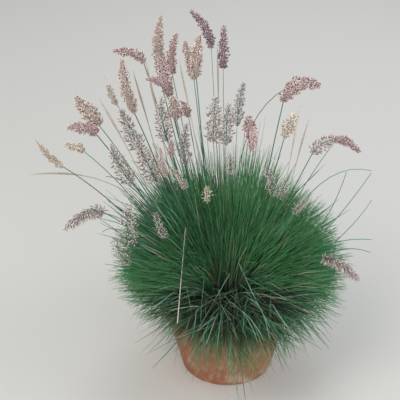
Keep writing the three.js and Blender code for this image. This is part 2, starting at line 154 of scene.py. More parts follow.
def add(tree, kind, *values, sockets=None, stops=(), **settings):
    """Adds a node and gives it back.

    Values go to its open inputs in order, or by name in sockets. Stops are the places and colours of a
    colour ramp.
    """
    node = tree.nodes.new(kind)
    for name, value in settings.items():
        setattr(node, name, value)
    for order, (place, colour) in enumerate(stops):
        elements = node.color_ramp.elements
        stop = elements[order] if order < 2 else elements.new(place)
        stop.position, stop.color = place, linear(colour)
    open_inputs = [socket for socket in node.inputs if socket.enabled]
    given = list(zip(open_inputs, values)) + [(node.inputs[k], v) for k, v in (sockets or {}).items()]
    for socket, value in given:
        if isinstance(value, bpy.types.Node):
            value = next(out for out in value.outputs if out.enabled)
        if isinstance(value, bpy.types.NodeSocket):
            tree.links.new(value, socket)
        elif value is not None:
            socket.default_value = value
    return node


def mesh_of(name, shape):
    """What bmesh has built, kept as a mesh."""
    mesh = bpy.data.meshes.new(name)
    shape.to_mesh(mesh)
    shape.free()
    return mesh


# %% Light and floor
def soft_box(name, place, size, power, colour):
    """A square area light that looks at the plant."""
    data = bpy.data.lights.new(name, "AREA")
    data.size, data.energy, data.color = size, power, linear(colour)[:3]
    lamp = bpy.data.objects.new(name, data)
    lamp.location = place
    lamp.rotation_euler = (aim - Vector(place)).to_track_quat("-Z", "Y").to_euler()
    bpy.context.scene.collection.objects.link(lamp)


soft_box("soft_box_left", (-1.4, -1.5, 2.5), 1.6, 38, "#fff8f0")
soft_box("soft_box_front", (0.5, -2.6, 1.3), 1.8, 22, "#fdfbff")
soft_box("soft_box_right", (2.0, -0.4, 1.6), 1.6, 14, "#f2f6ff")
soft_box("soft_box_back", (0.4, 2.0, 2.2), 1.4, 16, "#ffffff")
world = bpy.data.worlds.new("pale studio")
world.use_nodes = True
world.node_tree.nodes["Background"].inputs["Color"].default_value = linear("#e9ecec")
world.node_tree.nodes["Background"].inputs["Strength"].default_value = 0.6
bpy.context.scene.world = world
bpy.context.scene.view_settings.view_transform = "Standard"

FLOOR_RADIUS = 14
shape = bmesh.new()
bmesh.ops.create_circle(shape, cap_ends=True, segments=64, radius=FLOOR_RADIUS)
floor_mesh = mesh_of("floor", shape)
floor = bpy.data.objects.new("floor", floor_mesh)
bpy.context.scene.collection.objects.link(floor)
floor_finish = bpy.data.materials.new("matt pale paper")
floor_finish.use_nodes = True
floor_finish.node_tree.nodes["Principled BSDF"].inputs["Base Color"].default_value = linear("#d4d4d1")
floor_finish.node_tree.nodes["Principled BSDF"].inputs["Roughness"].default_value = 0.9
floor_mesh.materials.append(floor_finish)


# %% [markdown]
# ## Finishes
#
# Every finish starts from what the real surface is. A finish that follows each leaf or spikelet reads
# attributes of the mesh: `along` runs from 0 at its foot to 1 at its tip, and `tint` is one random number
# for each leaf or spikelet. Leaves have `culm` too, which is 1 on stalks and on the leaves that lie loose,
# hang folded or stand out of the mound. Heads have `stem`, which is 1 on their inner stalks, and `young`,
# which falls from the foot of the head to its tip. Attributes travel with the mesh, so that the pattern
# stays right from every side.

# %% A fresh material
def finish_named(name, roughness):
    """A material with its tree and shader, which the finishes below fill in."""
    material = bpy.data.materials.new(name)
    material.use_nodes = True
    shader = material.node_tree.nodes["Principled BSDF"]
    shader.inputs["Roughness"].default_value = roughness
    return material, material.node_tree, shader


# %% Living leaves
# Leaf blades of a rolled, waxy grass: semi-matt, blue-green, with a brown sheath at the foot, a paler tip
# and now and then a dry blade. The wax gives them a slightly milky light. A third of the blades, those
# with a low tint, are brown up to a third of their length and fade to green above, as the sheaths in the
# heart of the sheaf do. All the sheath colours are painted paler than real: painted light that lifts the
# shade deep in the clump.
BROWN_FOOT, GREEN_FOOT = 0.32, 0.46
leaf_finish, tree, shader = finish_named("waxy grass leaf", 0.62)
along, tint, culm = (
    add(tree, "ShaderNodeAttribute", attribute_name=label).outputs["Fac"]
    for label in ("along", "tint", "culm")
)
blade_green = add(tree, "ShaderNodeValToRGB", tint, stops=(
    (0.0, "#276a37"), (0.4, "#3a8d4e"), (0.75, "#52a165"), (0.93, "#72b184"), (0.97, "#b0ab8a")))
culm_green = add(tree, "ShaderNodeValToRGB", tint, stops=(
    (0.0, "#28503f"), (0.4, "#3d6c5a"), (0.62, "#4f9377"), (0.84, "#8ab39f"), (0.9, "#b3aa98")))
living = add(tree, "ShaderNodeMix", culm, blade_green, culm_green, data_type="RGBA")
tip_share = add(tree, "ShaderNodeMapRange", along, 0.6, 1.0, 0.0, 0.3)
tipped = add(tree, "ShaderNodeMix", tip_share, living, linear("#7fae84"), data_type="RGBA")
# Real brown and green sheaths, painted paler than real as light that lifts the shade in the clump's heart.
sheath_painted_lighter = add(tree, "ShaderNodeValToRGB", tint, stops=(
    (0.0, "#b09a82"), (BROWN_FOOT, "#8d7a60"), (GREEN_FOOT, "#5d6f45"), (1.0, "#55784b")))
sheath_start = add(tree, "ShaderNodeMapRange", tint, BROWN_FOOT, GREEN_FOOT, 0.34, 0.14)
sheath_end = add(tree, "ShaderNodeMapRange", tint, BROWN_FOOT, GREEN_FOOT, 0.9, 0.5)
foot_share = add(tree, "ShaderNodeMapRange", along, sheath_start, sheath_end, 0.9, 0.0)
broad = add(tree, "ShaderNodeMath", culm, -0.7, 1.0, operation="MULTIPLY_ADD")
narrow_foot = add(tree, "ShaderNodeMath", foot_share, broad, operation="MULTIPLY")
footed = add(tree, "ShaderNodeMix", narrow_foot, tipped, sheath_painted_lighter, data_type="RGBA")
tree.links.new(footed.outputs[2], shader.inputs["Base Color"])
shader.inputs["Specular IOR Level"].default_value = 0.25


# %% Dead leaves and straws
# Dry straw: the green is gone, and what is left is a pale, dull, slightly silvery brown with darker
# streaks.
STREAK_SCALE = 140.0  # a streak each 7 mm


def straw_finish_named(name, pale, dark, roughness):
    material, tree, shader = finish_named(name, roughness)
    tint = add(tree, "ShaderNodeAttribute", attribute_name="tint").outputs["Fac"]
    place = add(tree, "ShaderNodeTexCoord").outputs["Object"]
    streak = add(tree, "ShaderNodeTexNoise", place, sockets={"Scale": STREAK_SCALE, "Detail": 3.0})
    both = add(tree, "ShaderNodeMath", tint, streak.outputs["Fac"], operation="ADD")
    share = add(tree, "ShaderNodeMapRange", both, 0.35, 1.55, 0.0, 1.0)
    colour = add(tree, "ShaderNodeMix", share, linear(dark), linear(pale), data_type="RGBA")
    tree.links.new(colour.outputs[2], shader.inputs["Base Color"])
    return material


straw_finish = straw_finish_named("dry straw", "#e2d6c6", "#a5947f", 0.62)
# Rotted leaf, and near black partly as painted shade under the front skirt.
thatch_and_shade_finish = straw_finish_named("old thatch", "#57523f", "#1f1f16", 0.85)


# %% Flower heads
# Each spikelet is dull mauve or green at its foot and ends in silky, almost white hairs. Seen from a step
# away the pale tips and the dark gaps between them make the mottled pink, cream or silver of the head.
# The dark foot colour is partly the foot's own dull colour and partly painted shade for those gaps.
# Some spikelets are flushed with the darker blush. Sheen stands for the silk, which is much finer than
# the mesh.
def head_finish_named(name, foot, middle, tip, stem, blush):
    material, tree, shader = finish_named(name, 0.78)
    along, tint, stalk, young = (
        add(tree, "ShaderNodeAttribute", attribute_name=label).outputs["Fac"]
        for label in ("along", "tint", "stem", "young")
    )
    # The foot stop is dark partly as painted shade in the gaps between spikelets.
    ramp = add(tree, "ShaderNodeValToRGB", along, stops=((0.12, foot), (0.38, middle), (0.68, tip)))
    low = add(tree, "ShaderNodeMapRange", young, 0.4, 1.0, 0.0, 0.3)
    flush = add(tree, "ShaderNodeMapRange", tint, 0.52, 0.66, 0.0, 0.62)
    both = add(tree, "ShaderNodeMath", low, flush, operation="ADD", use_clamp=True)
    flushed = add(tree, "ShaderNodeMix", both, ramp, linear(blush), data_type="RGBA")
    colour = add(tree, "ShaderNodeMix", stalk, flushed, linear(stem), data_type="RGBA")
    tree.links.new(colour.outputs[2], shader.inputs["Base Color"])
    shader.inputs["Sheen Weight"].default_value = 0.12
    shader.inputs["Sheen Roughness"].default_value = 0.4
    return material


# Each row: name, then the foot colour (partly painted shade), middle, tip, stem and blush.
HEAD_COLOURS = {
    "cream": ("cream silk spikelets", "#3a2c2b", "#a28e87", "#fff5ec", "#8c8f76", "#b39a93"),
    "pink": ("pink silk spikelets", "#3a2329", "#9b8080", "#fbebe8", "#7f8a74", "#9c7878"),
    "mauve": ("mauve silk spikelets", "#1d1217", "#7a606a", "#f4e1e5", "#77836f", "#664854"),
    "silver": ("silver and green spikelets", "#554a4a", "#a99b97", "#f8f0ea", "#4a6d58", "#8b7674"),
    "dried": ("dried cream spikelets", "#6d6155", "#cbbfae", "#fbf4ea", "#a3977a", "#b5a695"),
}
HEAD_FINISHES = {colour: head_finish_named(*values) for colour, values in HEAD_COLOURS.items()}
print("finishes:", [m.name for m in bpy.data.materials])


# %% [markdown]
# ## Terracotta and compost
#
# A clay pot is pressed in a mould and fired. It is matt and open-pored, so water moves through its wall
# and leaves a pale bloom of lime where it dries, mostly low on the wall. The compost is dark bark and
# peat. Both patterns are noise at the real size of the thing: grains of a millimetre, patches of a few
# centimetres.

# %% Terracotta
# A noise's scale is how many of its patches fit in a metre.
PATCH_SCALE, BLOOM_SCALE, GRAIN_SCALE = 22.0, 34.0, 900.0
CRUMB_SCALE = 320.0
pot_finish, tree, shader = finish_named("fired terracotta", 0.88)
place = add(tree, "ShaderNodeTexCoord").outputs["Object"]
patches = add(tree, "ShaderNodeTexNoise", place,
              sockets={"Scale": PATCH_SCALE, "Detail": 5.0, "Roughness": 0.62})
grains = add(tree, "ShaderNodeTexNoise", place, sockets={"Scale": GRAIN_SCALE, "Detail": 2.0})
clay = add(tree, "ShaderNodeMix", patches.outputs["Fac"], linear("#96583f"), linear("#b0785a"),
           data_type="RGBA")
speck = add(tree, "ShaderNodeMapRange", grains.outputs["Fac"], 0.3, 0.75, 0.0, 0.3)
specked = add(tree, "ShaderNodeMix", speck, clay, linear("#7f4a36"), data_type="RGBA")
height = add(tree, "ShaderNodeSeparateXYZ", place).outputs["Z"]
low_wall = add(tree, "ShaderNodeMapRange", height, 0.0, 0.11, 0.75, 0.1)
bloom_noise = add(tree, "ShaderNodeTexNoise", place,
                  sockets={"Scale": BLOOM_SCALE, "Detail": 7.0, "Roughness": 0.7})
bloom_patch = add(tree, "ShaderNodeMapRange", bloom_noise.outputs["Fac"], 0.47, 0.68, 0.0, 1.0)
bloom = add(tree, "ShaderNodeMath", bloom_patch, low_wall, operation="MULTIPLY")
bloomed = add(tree, "ShaderNodeMix", bloom, specked, linear("#d9c2ae"), data_type="RGBA")
tree.links.new(bloomed.outputs[2], shader.inputs["Base Color"])
PORE_DEPTH = 0.4 * MM
pores = add(tree, "ShaderNodeBump",
            sockets={"Strength": 0.25, "Distance": PORE_DEPTH, "Height": grains.outputs["Fac"]})
tree.links.new(pores.outputs["Normal"], shader.inputs["Normal"])

# %% Compost
compost_finish, tree, shader = finish_named("bark and peat compost", 0.95)
place = add(tree, "ShaderNodeTexCoord").outputs["Object"]
crumb_noise = add(tree, "ShaderNodeTexNoise", place, sockets={"Scale": CRUMB_SCALE, "Detail": 4.0})
share = add(tree, "ShaderNodeMapRange", crumb_noise.outputs["Fac"], 0.35, 0.7, 0.0, 1.0)
earth = add(tree, "ShaderNodeMix", share, linear("#1f1712"), linear("#4f3d2f"), data_type="RGBA")
tree.links.new(earth.outputs[2], shader.inputs["Base Color"])


# %% [markdown]
# ## Helpers for the pieces
#
# A tree of Geometry Nodes is only a rule, and the same rule makes many pieces when its sizes are inputs.
# Two helpers start a tree with named inputs and end it. Another runs a tree on an object with given sizes
# and keeps the result as a plain mesh, so that nothing is left to evaluate later. The last one ties a
# finished piece to the solid model: what it moves with and which solids it stands for.

# %% Start a tree, run a tree, tie a piece
SOCKET_KINDS = {
    "length": "NodeSocketFloat",
    "number": "NodeSocketInt",
    "switch": "NodeSocketBool",
    "object": "NodeSocketObject",
    "finish": "NodeSocketMaterial",
}


def start_tree(name, inputs):
    """A Geometry Nodes tree with a geometry input and the named ones, given back with its input sockets."""
    tree = bpy.data.node_groups.new(name, "GeometryNodeTree")
    tree.interface.new_socket("Geometry", in_out="INPUT", socket_type="NodeSocketGeometry")
    for label, kind in inputs.items():
        tree.interface.new_socket(label, in_out="INPUT", socket_type=SOCKET_KINDS[kind])
    tree.interface.new_socket("Geometry", in_out="OUTPUT", socket_type="NodeSocketGeometry")
    return tree, tree.nodes.new("NodeGroupInput").outputs


def end_tree(tree, geometry, finish):
    """Every tree ends the same way: instances become real mesh, and the finish is set."""
    real = add(tree, "GeometryNodeRealizeInstances", geometry)
    dressed = add(tree, "GeometryNodeSetMaterial", real, None, finish)
    add(tree, "NodeGroupOutput", dressed)


def grow(piece, tree, **sizes):
    """Runs a tree on a piece and keeps the result as a plain mesh. Input names have _ for each space."""
    modifier = piece.modifiers.new("grow", "NODES")
    modifier.node_group = tree
    for item in tree.interface.items_tree:
        key = item.name.replace(" ", "_").lower()
        if item.in_out == "INPUT" and key in sizes:
            modifier[item.identifier] = sizes.pop(key)
    assert not sizes, f"the tree has no input for {list(sizes)}"
    graph = bpy.context.evaluated_depsgraph_get()
    made = bpy.data.meshes.new_from_object(
        piece.evaluated_get(graph), preserve_all_data_layers=True, depsgraph=graph
    )
    piece.modifiers.remove(modifier)
    piece.data = made
    return piece


def piece_of(name, mesh):
    piece = bpy.data.objects.new(name, mesh)
    bpy.context.scene.collection.objects.link(piece)
    return piece


def tie(piece, slot, *nodes):
    """The piece rides on the one body and stands for its solids. The slot is not used."""
    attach(piece, "root")
    if nodes:
        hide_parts(*nodes)


def triangles(mesh):
    return sum(len(face.vertices) - 2 for face in mesh.polygons)


# %% [markdown]
# ## The pot
#
# A pot is turned, so its wall is one outline spun round an axis. Here the outline is spun in code, with
# rounded edges and faint rings from the mould, and four drain holes are cut through its floor with a
# Boolean. Spinning in code keeps the seam closed, which the Spin tool doesn't do by itself.

# %% Spin an outline
def spun(name, outline, facets, ripple=None):
    """A closed mesh of an outline of (radius, height) that starts and ends on the axis."""
    shape = bmesh.new()
    rows = []
    for radius, height in outline:
        if radius < 1e-6:
            rows.append([shape.verts.new((0, 0, height))])
            continue
        row = []
        for i in range(facets):
            spot = on_ring(radius, math.tau * i / facets, height)
            row.append(shape.verts.new(ripple(spot) if ripple else spot))
        rows.append(row)
    for lower, upper in zip(rows, rows[1:]):
        for i in range(facets):
            j = (i + 1) % facets
            corners = [lower[i % len(lower)], lower[j % len(lower)]]
            corners += [upper[j % len(upper)], upper[i % len(upper)]]
            shape.faces.new(list(dict.fromkeys(corners)))
    bmesh.ops.recalc_face_normals(shape, faces=shape.faces)
    return mesh_of(name, shape)


def rounded(outline, radius, steps):
    """The outline with each inner corner replaced by a short arc-like bend."""
    points = [Vector(p) for p in outline]
    result = [points[0]]
    for before, corner, after in zip(points, points[1:], points[2:]):
        reach = min(radius, (before - corner).length / 2.2, (after - corner).length / 2.2)
        start = corner + (before - corner).normalized() * reach
        end = corner + (after - corner).normalized() * reach
        result += bent(start, corner, end, steps)
    return result + [points[-1]]


def divided(outline, longest):
    """The outline with its long stretches cut into shorter ones."""
    result = [outline[0]]
    for before, after in zip(outline, outline[1:]):
        cuts = max(1, math.ceil((after - before).length / longest))
        result += [before.lerp(after, (i + 1) / cuts) for i in range(cuts)]
    return result


# %% The pot itself
POT_FACETS = 112
NECK = POT_HEIGHT - BAND
pot_outline = [
    (0, 0),
    (FOOT, 0),
    (SHOULDER, NECK),
    (RIM, NECK),
    (RIM, POT_HEIGHT),
    (SHOULDER - WALL, POT_HEIGHT),
    (SHOULDER - WALL, NECK),
    (FOOT - WALL, FLOOR),
    (0, FLOOR),
]
RING_DEPTH, RING_PITCH = 0.14 * MM, 11 * MM
RINGS_FROM = 60 * MM
UNEVEN_DEPTH, UNEVEN_SCALE = 0.35 * MM, 28
LONGEST_STRETCH = 2.7 * MM


def mould_rings(spot):
    """Pushes a point of the wall out and in by the faint rings and the unevenness of pressed clay."""
    out = Vector((spot.x, spot.y, 0))
    if out.length < RINGS_FROM:
        return spot
    wave = math.sin(spot.z / RING_PITCH * math.tau) * RING_DEPTH
    uneven = noise.noise(spot * UNEVEN_SCALE) * UNEVEN_DEPTH
    return spot + out.normalized() * (wave + uneven)


outline = divided(rounded(pot_outline, EDGE, 4), LONGEST_STRETCH)
clay_pot = piece_of("clay_pot", spun("clay_pot", outline, POT_FACETS, mould_rings))
DRAIN_COUNT, DRAIN_RADIUS, DRAIN_RING = 4, 6.5 * MM, 44 * MM
cutter_shape = bmesh.new()
for i in range(DRAIN_COUNT):
    spot = on_ring(DRAIN_RING, (i + 0.5) / DRAIN_COUNT * math.tau, FLOOR / 2)
    bmesh.ops.create_cone(
        cutter_shape, cap_ends=True, segments=24, radius1=DRAIN_RADIUS, radius2=DRAIN_RADIUS,
        depth=FLOOR * 3, matrix=Matrix.Translation(spot),
    )
cutter = piece_of("drain_cutter", mesh_of("drain_cutter", cutter_shape))
cut = clay_pot.modifiers.new("drain holes", "BOOLEAN")
cut.operation, cut.solver, cut.object = "DIFFERENCE", "EXACT", cutter
graph = bpy.context.evaluated_depsgraph_get()
pierced = bpy.data.meshes.new_from_object(clay_pot.evaluated_get(graph), depsgraph=graph)
clay_pot.modifiers.remove(cut)
clay_pot.data = pierced
bpy.data.objects.remove(cutter)
pierced.materials.clear()
pierced.materials.append(pot_finish)
pierced.shade_smooth()
tie(clay_pot, "terracotta", "pot")
print("pot:", triangles(pierced), "triangles")

# %% [markdown]
# ## The compost
#
# The compost is one body with a rough top. The body is spun like the pot and its top is roughened by
# noise. The crumbs on it are a few lumps scattered by Geometry Nodes: points are spread over the top at
# random, and each point gets a small stone-like lump with its own turn and size.

# %% Body of the compost
INNER = soil_high.x
COMPOST_FACETS = 72
BUMP_HEIGHT, BUMP_SCALE = 1.8 * MM, 60
SETTLED = 1.2 * MM
compost_outline = [
    (0, soil_low.z),
    (FOOT - WALL - 1 * MM, soil_low.z),
    (INNER, NECK),
    (INNER, SOIL_TOP - 3 * MM),
    (INNER - 8 * MM, SOIL_TOP),
    (0, SOIL_TOP + 3 * MM),
]


def rough_top(spot):
    """Raises and lowers the top of the compost, and leaves its side alone."""
    if spot.z < SOIL_TOP - 4 * MM:
        return spot
    bump = noise.fractal(spot * BUMP_SCALE, 0.8, 2.1, 4)
    return spot + Vector((0, 0, bump * BUMP_HEIGHT - SETTLED))


outline = divided([Vector(p) for p in compost_outline], 4 * MM)
compost = piece_of("potting_compost", spun("potting_compost", outline, COMPOST_FACETS, rough_top))
crumb_shape = bmesh.new()
bmesh.ops.create_icosphere(crumb_shape, subdivisions=1, radius=1)
lump_random = random.Random(5)
for corner in crumb_shape.verts:
    corner.co *= lump_random.uniform(0.65, 1.25)
crumb = piece_of("crumb", mesh_of("crumb", crumb_shape))

# %% Scatter the crumbs
crumb_tree, given = start_tree(
    "scattered crumbs",
    {"Crumb": "object", "Spread": "length", "Smallest": "length", "Largest": "length", "Seed": "number",
     "Finish": "finish"},
)
facing = add(crumb_tree, "GeometryNodeInputNormal")
upward = add(crumb_tree, "ShaderNodeSeparateXYZ", facing).outputs["Z"]
height = add(crumb_tree, "ShaderNodeSeparateXYZ", add(crumb_tree, "GeometryNodeInputPosition")).outputs["Z"]
faces_up = add(crumb_tree, "FunctionNodeCompare", upward, 0.5, operation="GREATER_THAN")
is_high = add(crumb_tree, "FunctionNodeCompare", height, SOIL_TOP - 6 * MM, operation="GREATER_THAN")
on_top = add(crumb_tree, "FunctionNodeBooleanMath", faces_up, is_high, operation="AND")
spots = add(crumb_tree, "GeometryNodeDistributePointsOnFaces", given["Geometry"], on_top, given["Spread"],
            distribute_method="RANDOM")
turn = add(crumb_tree, "FunctionNodeRandomValue", (0, 0, 0), (math.tau,) * 3, data_type="FLOAT_VECTOR",
           sockets={"Seed": given["Seed"]})
size = add(crumb_tree, "FunctionNodeRandomValue", given["Smallest"], given["Largest"], data_type="FLOAT",
           sockets={"Seed": given["Seed"]})
lumps = add(crumb_tree, "GeometryNodeInstanceOnPoints", spots, None,
            add(crumb_tree, "GeometryNodeObjectInfo", given["Crumb"]).outputs["Geometry"],
            sockets={"Rotation": turn, "Scale": size})
both = crumb_tree.nodes.new("GeometryNodeJoinGeometry")
crumb_tree.links.new(given["Geometry"], both.inputs[0])
crumb_tree.links.new(lumps.outputs[0], both.inputs[0])
end_tree(crumb_tree, both, given["Finish"])
CRUMBS_PER_SQUARE_METRE = 42000
SMALLEST_CRUMB, LARGEST_CRUMB = 0.7 * MM, 2.6 * MM
grow(compost, crumb_tree, crumb=crumb, spread=CRUMBS_PER_SQUARE_METRE, smallest=SMALLEST_CRUMB,
     largest=LARGEST_CRUMB, seed=3, finish=compost_finish)
bpy.data.objects.remove(crumb)
tie(compost, "compost", "soil")
print("compost:", triangles(compost.data), "triangles")

# %% [markdown]
# ## What a leaf and a stalk follow
#
# A grass leaf is a narrow strip that leaves the crown at some lean and bends further over by its own
# weight. So it is a line first and a strip second. The lines are drawn by a rule with a seeded random
# source, and one tree sweeps a small three-sided section along all of them. Each point of a line carries
# `along` and `girth`, and each line its own `tint` and `culm`, so that one rule serves leaves, stalks,
# straws and thatch.

# %% Lines as a mesh of edges
def lines_mesh(name, lines):
    """A mesh of loose edges. Each line has its points and their girths, and one culm and tint."""
    mesh = bpy.data.meshes.new(name)
    spots, edges = [], []
    for line in lines:
        first = len(spots)
        spots += line["points"]
        edges += [(first + i, first + i + 1) for i in range(len(line["points"]) - 1)]
    mesh.from_pydata(spots, edges, [])
    values = {
        "along": [i / (len(line["points"]) - 1) for line in lines for i in range(len(line["points"]))],
        "girth": [girth for line in lines for girth in line["girths"]],
        "culm": [line["culm"] for line in lines for _ in line["points"]],
        "tint": [line["tint"] for line in lines for _ in line["points"]],
    }
    for label, numbers in values.items():
        mesh.attributes.new(label, "FLOAT", "POINT").data.foreach_set("value", numbers)
    return mesh


# %% The tree that sweeps a blade along every line
blade_tree, given = start_tree("swept blades", {"Keel": "length", "Finish": "finish"})
paths = add(blade_tree, "GeometryNodeMeshToCurve", given["Geometry"])
upright = add(blade_tree, "GeometryNodeSetCurveNormal", paths, mode="Z_UP")
section = add(blade_tree, "GeometryNodeCurvePrimitiveCircle", 3, sockets={"Radius": 0.5})
flatness = add(blade_tree, "ShaderNodeCombineXYZ", given["Keel"], 1.0, 1.0)
flat_section = add(blade_tree, "GeometryNodeTransform", section, sockets={"Scale": flatness})
girth = add(blade_tree, "GeometryNodeInputNamedAttribute", "girth", data_type="FLOAT")
blades = add(blade_tree, "GeometryNodeCurveToMesh", upright, flat_section, girth, True)
end_tree(blade_tree, blades, given["Finish"])

# %% [markdown]
# ## The mound of leaves
#
# The leaves' leans are spread so that their tips cover the dome evenly, from upright ones in the middle to
# the outermost, which hang over the pot's rim. Towards the front they part: most stand in a sheaf, the
# rest lie in a skirt, and the brown foot of the sheaf shows between. A leaf that would cut through the
# rim is drawn again. Each of the eight tufts is one piece, with 1300 such leaves.

# %% The rule for one leaf
BLADES_PER_TUFT = 1300
BLADE_STEPS = 6
STAND_LEAN, SKIRT_LEAN = math.radians(38), (math.radians(69), math.radians(103))
STANDING_SHARE = 0.84
PARTED_LEAN = math.radians(24)
TOP_LEANS, LOW_LEANS = (math.radians(8), math.radians(38)), (math.radians(62), math.radians(88))
ROOT_HEIGHT = CROWN.z - 8 * MM
RIM_ROOM, TOP_ROOM, SOIL_ROOM = 3 * MM, 2 * MM, 1 * MM


def mound_reach(angle, lean):
    """How far tips are from the crown's middle: furthest at the top, and by the side low down."""
    place = (angle / TUFT_ANGLE) % len(TUFTS)
    before = int(place)
    low = lerp(MOUND_LOW[before], MOUND_LOW[(before + 1) % len(TUFTS)], place - before)
    slope = lerp(MOUND_TOP, MOUND_SLOPE, smoothstep(lean, *TOP_LEANS))
    return lerp(slope, low, smoothstep(lean, *LOW_LEANS))


def clears_rim(points):
    """Whether a leaf stays above the compost and over the pot's rim."""
    for before, after in zip(points, points[1:]):
        for share in (0, 0.25, 0.5, 0.75, 1):
            spot = before.lerp(after, share)
            radius = math.hypot(spot.x, spot.y)
            if CROWN_RADIUS < radius < RIM + RIM_ROOM and spot.z < SOIL_TOP + SOIL_ROOM:
                return False
            if SHOULDER - WALL - TOP_ROOM < radius < RIM + RIM_ROOM and spot.z < POT_HEIGHT + TOP_ROOM:
                return False
    return True


def leaf_lean(share, way):
    """Leans cover the dome evenly, but towards the front the leaves either stand up or lie in a skirt."""
    even = math.acos(1 - share * (1 - math.cos(MOST_LEAN)))
    at_front = max(0, -math.sin(way))
    if share < STANDING_SHARE:
        stand = lerp(STAND_LEAN, PARTED_LEAN, smoothstep(at_front, 0.88, 1))
        parted = stand * math.sqrt(share / STANDING_SHARE)
    else:
        parted = lerp(*SKIRT_LEAN, (share - STANDING_SHARE) / (1 - STANDING_SHARE))
    return lerp(even, parted, at_front ** 1.2)


def toward(lean, way, length):
    """A step of some length at a lean from upright, in a direction seen from above."""
    return on_ring(length * math.sin(lean), way, length * math.cos(lean))


def leaf_line(turn, way, lean, length_share, draw):
    """One leaf's line: it rises from its root on the crown, bends over and ends at the mound's skin."""
    over = smoothstep(abs(lean), math.radians(25), math.radians(80))
    inward = lerp(math.sqrt(draw.random()), min(1, abs(lean) / math.radians(50)), 0.22)
    root_radius = CROWN_RADIUS * lerp(0.97 * inward, draw.uniform(0.6, 0.97), over)
    root = on_ring(root_radius, turn, ROOT_HEIGHT)
    clump = 1 + 0.12 * noise.noise(toward(lean, way, 3.6))
    length = (mound_reach(way, lean) - root_radius * math.sin(abs(lean))) * length_share * clump
    start = lean * lerp(draw.uniform(0.3, 0.95), draw.uniform(0.46, 0.94), over)
    swerve = draw.gauss(0, lerp(0.16, 0.5, over))
    knee = root + toward(start, way + swerve, length * draw.uniform(0.42, 0.6))
    return bent(root, knee, root + toward(lean, way, length), BLADE_STEPS)


def mound_leaf(tuft, share, draw):
    """A leaf of the mound. Share runs from 0 for an upright one to 1 for one that lies low."""
    while True:
        turn = (tuft + draw.uniform(-0.5, 0.5)) * TUFT_ANGLE
        lean = leaf_lean(share, turn) + math.radians(draw.uniform(-5, 5))
        stray = lerp(0.12, 0.36, smoothstep(lean, math.radians(50), math.radians(85)))
        shortest = lerp(0.88, 0.55, smoothstep(lean, math.radians(35), math.radians(70)))
        way = turn + draw.gauss(0, stray)
        points = leaf_line(turn, way, lean, draw.triangular(shortest, 1.03, 0.99), draw)
        if clears_rim(points):
            return points


def loose_leaf(tuft, draw):
    """An old leaf that lies across the others: mostly low down, and now and then in the sheaf."""
    while True:
        turn = (tuft + draw.uniform(-0.5, 0.5)) * TUFT_ANGLE
        lean = math.radians(draw.triangular(46, 103, 80) if draw.random() < 0.75 else draw.uniform(15, 62))
        points = leaf_line(turn, turn + draw.uniform(-0.9, 0.9), lean, draw.uniform(0.6, 1.06), draw)
        if clears_rim(points):
            return points


def bare_sheath(tuft, draw):
    """An upright brown sheath at the crown's edge, whose blade has withered."""
    turn = (tuft + draw.uniform(-0.5, 0.5)) * TUFT_ANGLE
    root = on_ring(CROWN_RADIUS * draw.uniform(0.72, 0.95), turn, ROOT_HEIGHT)
    lean = math.radians(draw.uniform(-3, 15))
    rise = toward(lean, turn + draw.gauss(0, 0.5), draw.uniform(70, 175) * MM)
    return bent(root, root + rise * 0.5 + Vector((0, 0, 4 * MM)), root + rise, BLADE_STEPS)


def folded_leaf(tuft, draw):
    """An old leaf that has snapped over at a knee and hangs in a straight line across the others."""
    while True:
        turn = (tuft + draw.uniform(-0.5, 0.5)) * TUFT_ANGLE
        root = on_ring(CROWN_RADIUS * draw.uniform(0.5, 0.95), turn, ROOT_HEIGHT)
        lean = math.radians(draw.uniform(34, 68))
        rise = toward(lean, turn + draw.gauss(0, 0.6), draw.uniform(45, 125) * MM)
        lean = math.radians(draw.uniform(92, 145))
        drop = toward(lean, turn + draw.gauss(0, 0.75), draw.uniform(70, 180) * MM)
        knee = root + rise
        middle = root + rise * 0.5 + Vector((0, 0, 6 * MM))
        points = [root, middle] + [knee + drop * share for share in (0, 0.2, 0.5, 0.8, 1)]
        if clears_rim(points) and math.hypot(points[-1].x, points[-1].y) < MOUND_LOW[tuft]:
            return points


def leaf_girths(width):
    """A leaf is widest a third of the way up and ends in a point."""
    shape = [0.75, 0.95, 1.0, 0.98, 0.92, 0.8, 0.3]
    return [width * share for share in shape]


def leaf_width(draw):
    """Most leaves are rolled fine, and about a quarter lie open and broader."""
    return draw.uniform(1.1, 1.6) * MM if draw.random() < 0.74 else draw.uniform(1.7, 2.4) * MM
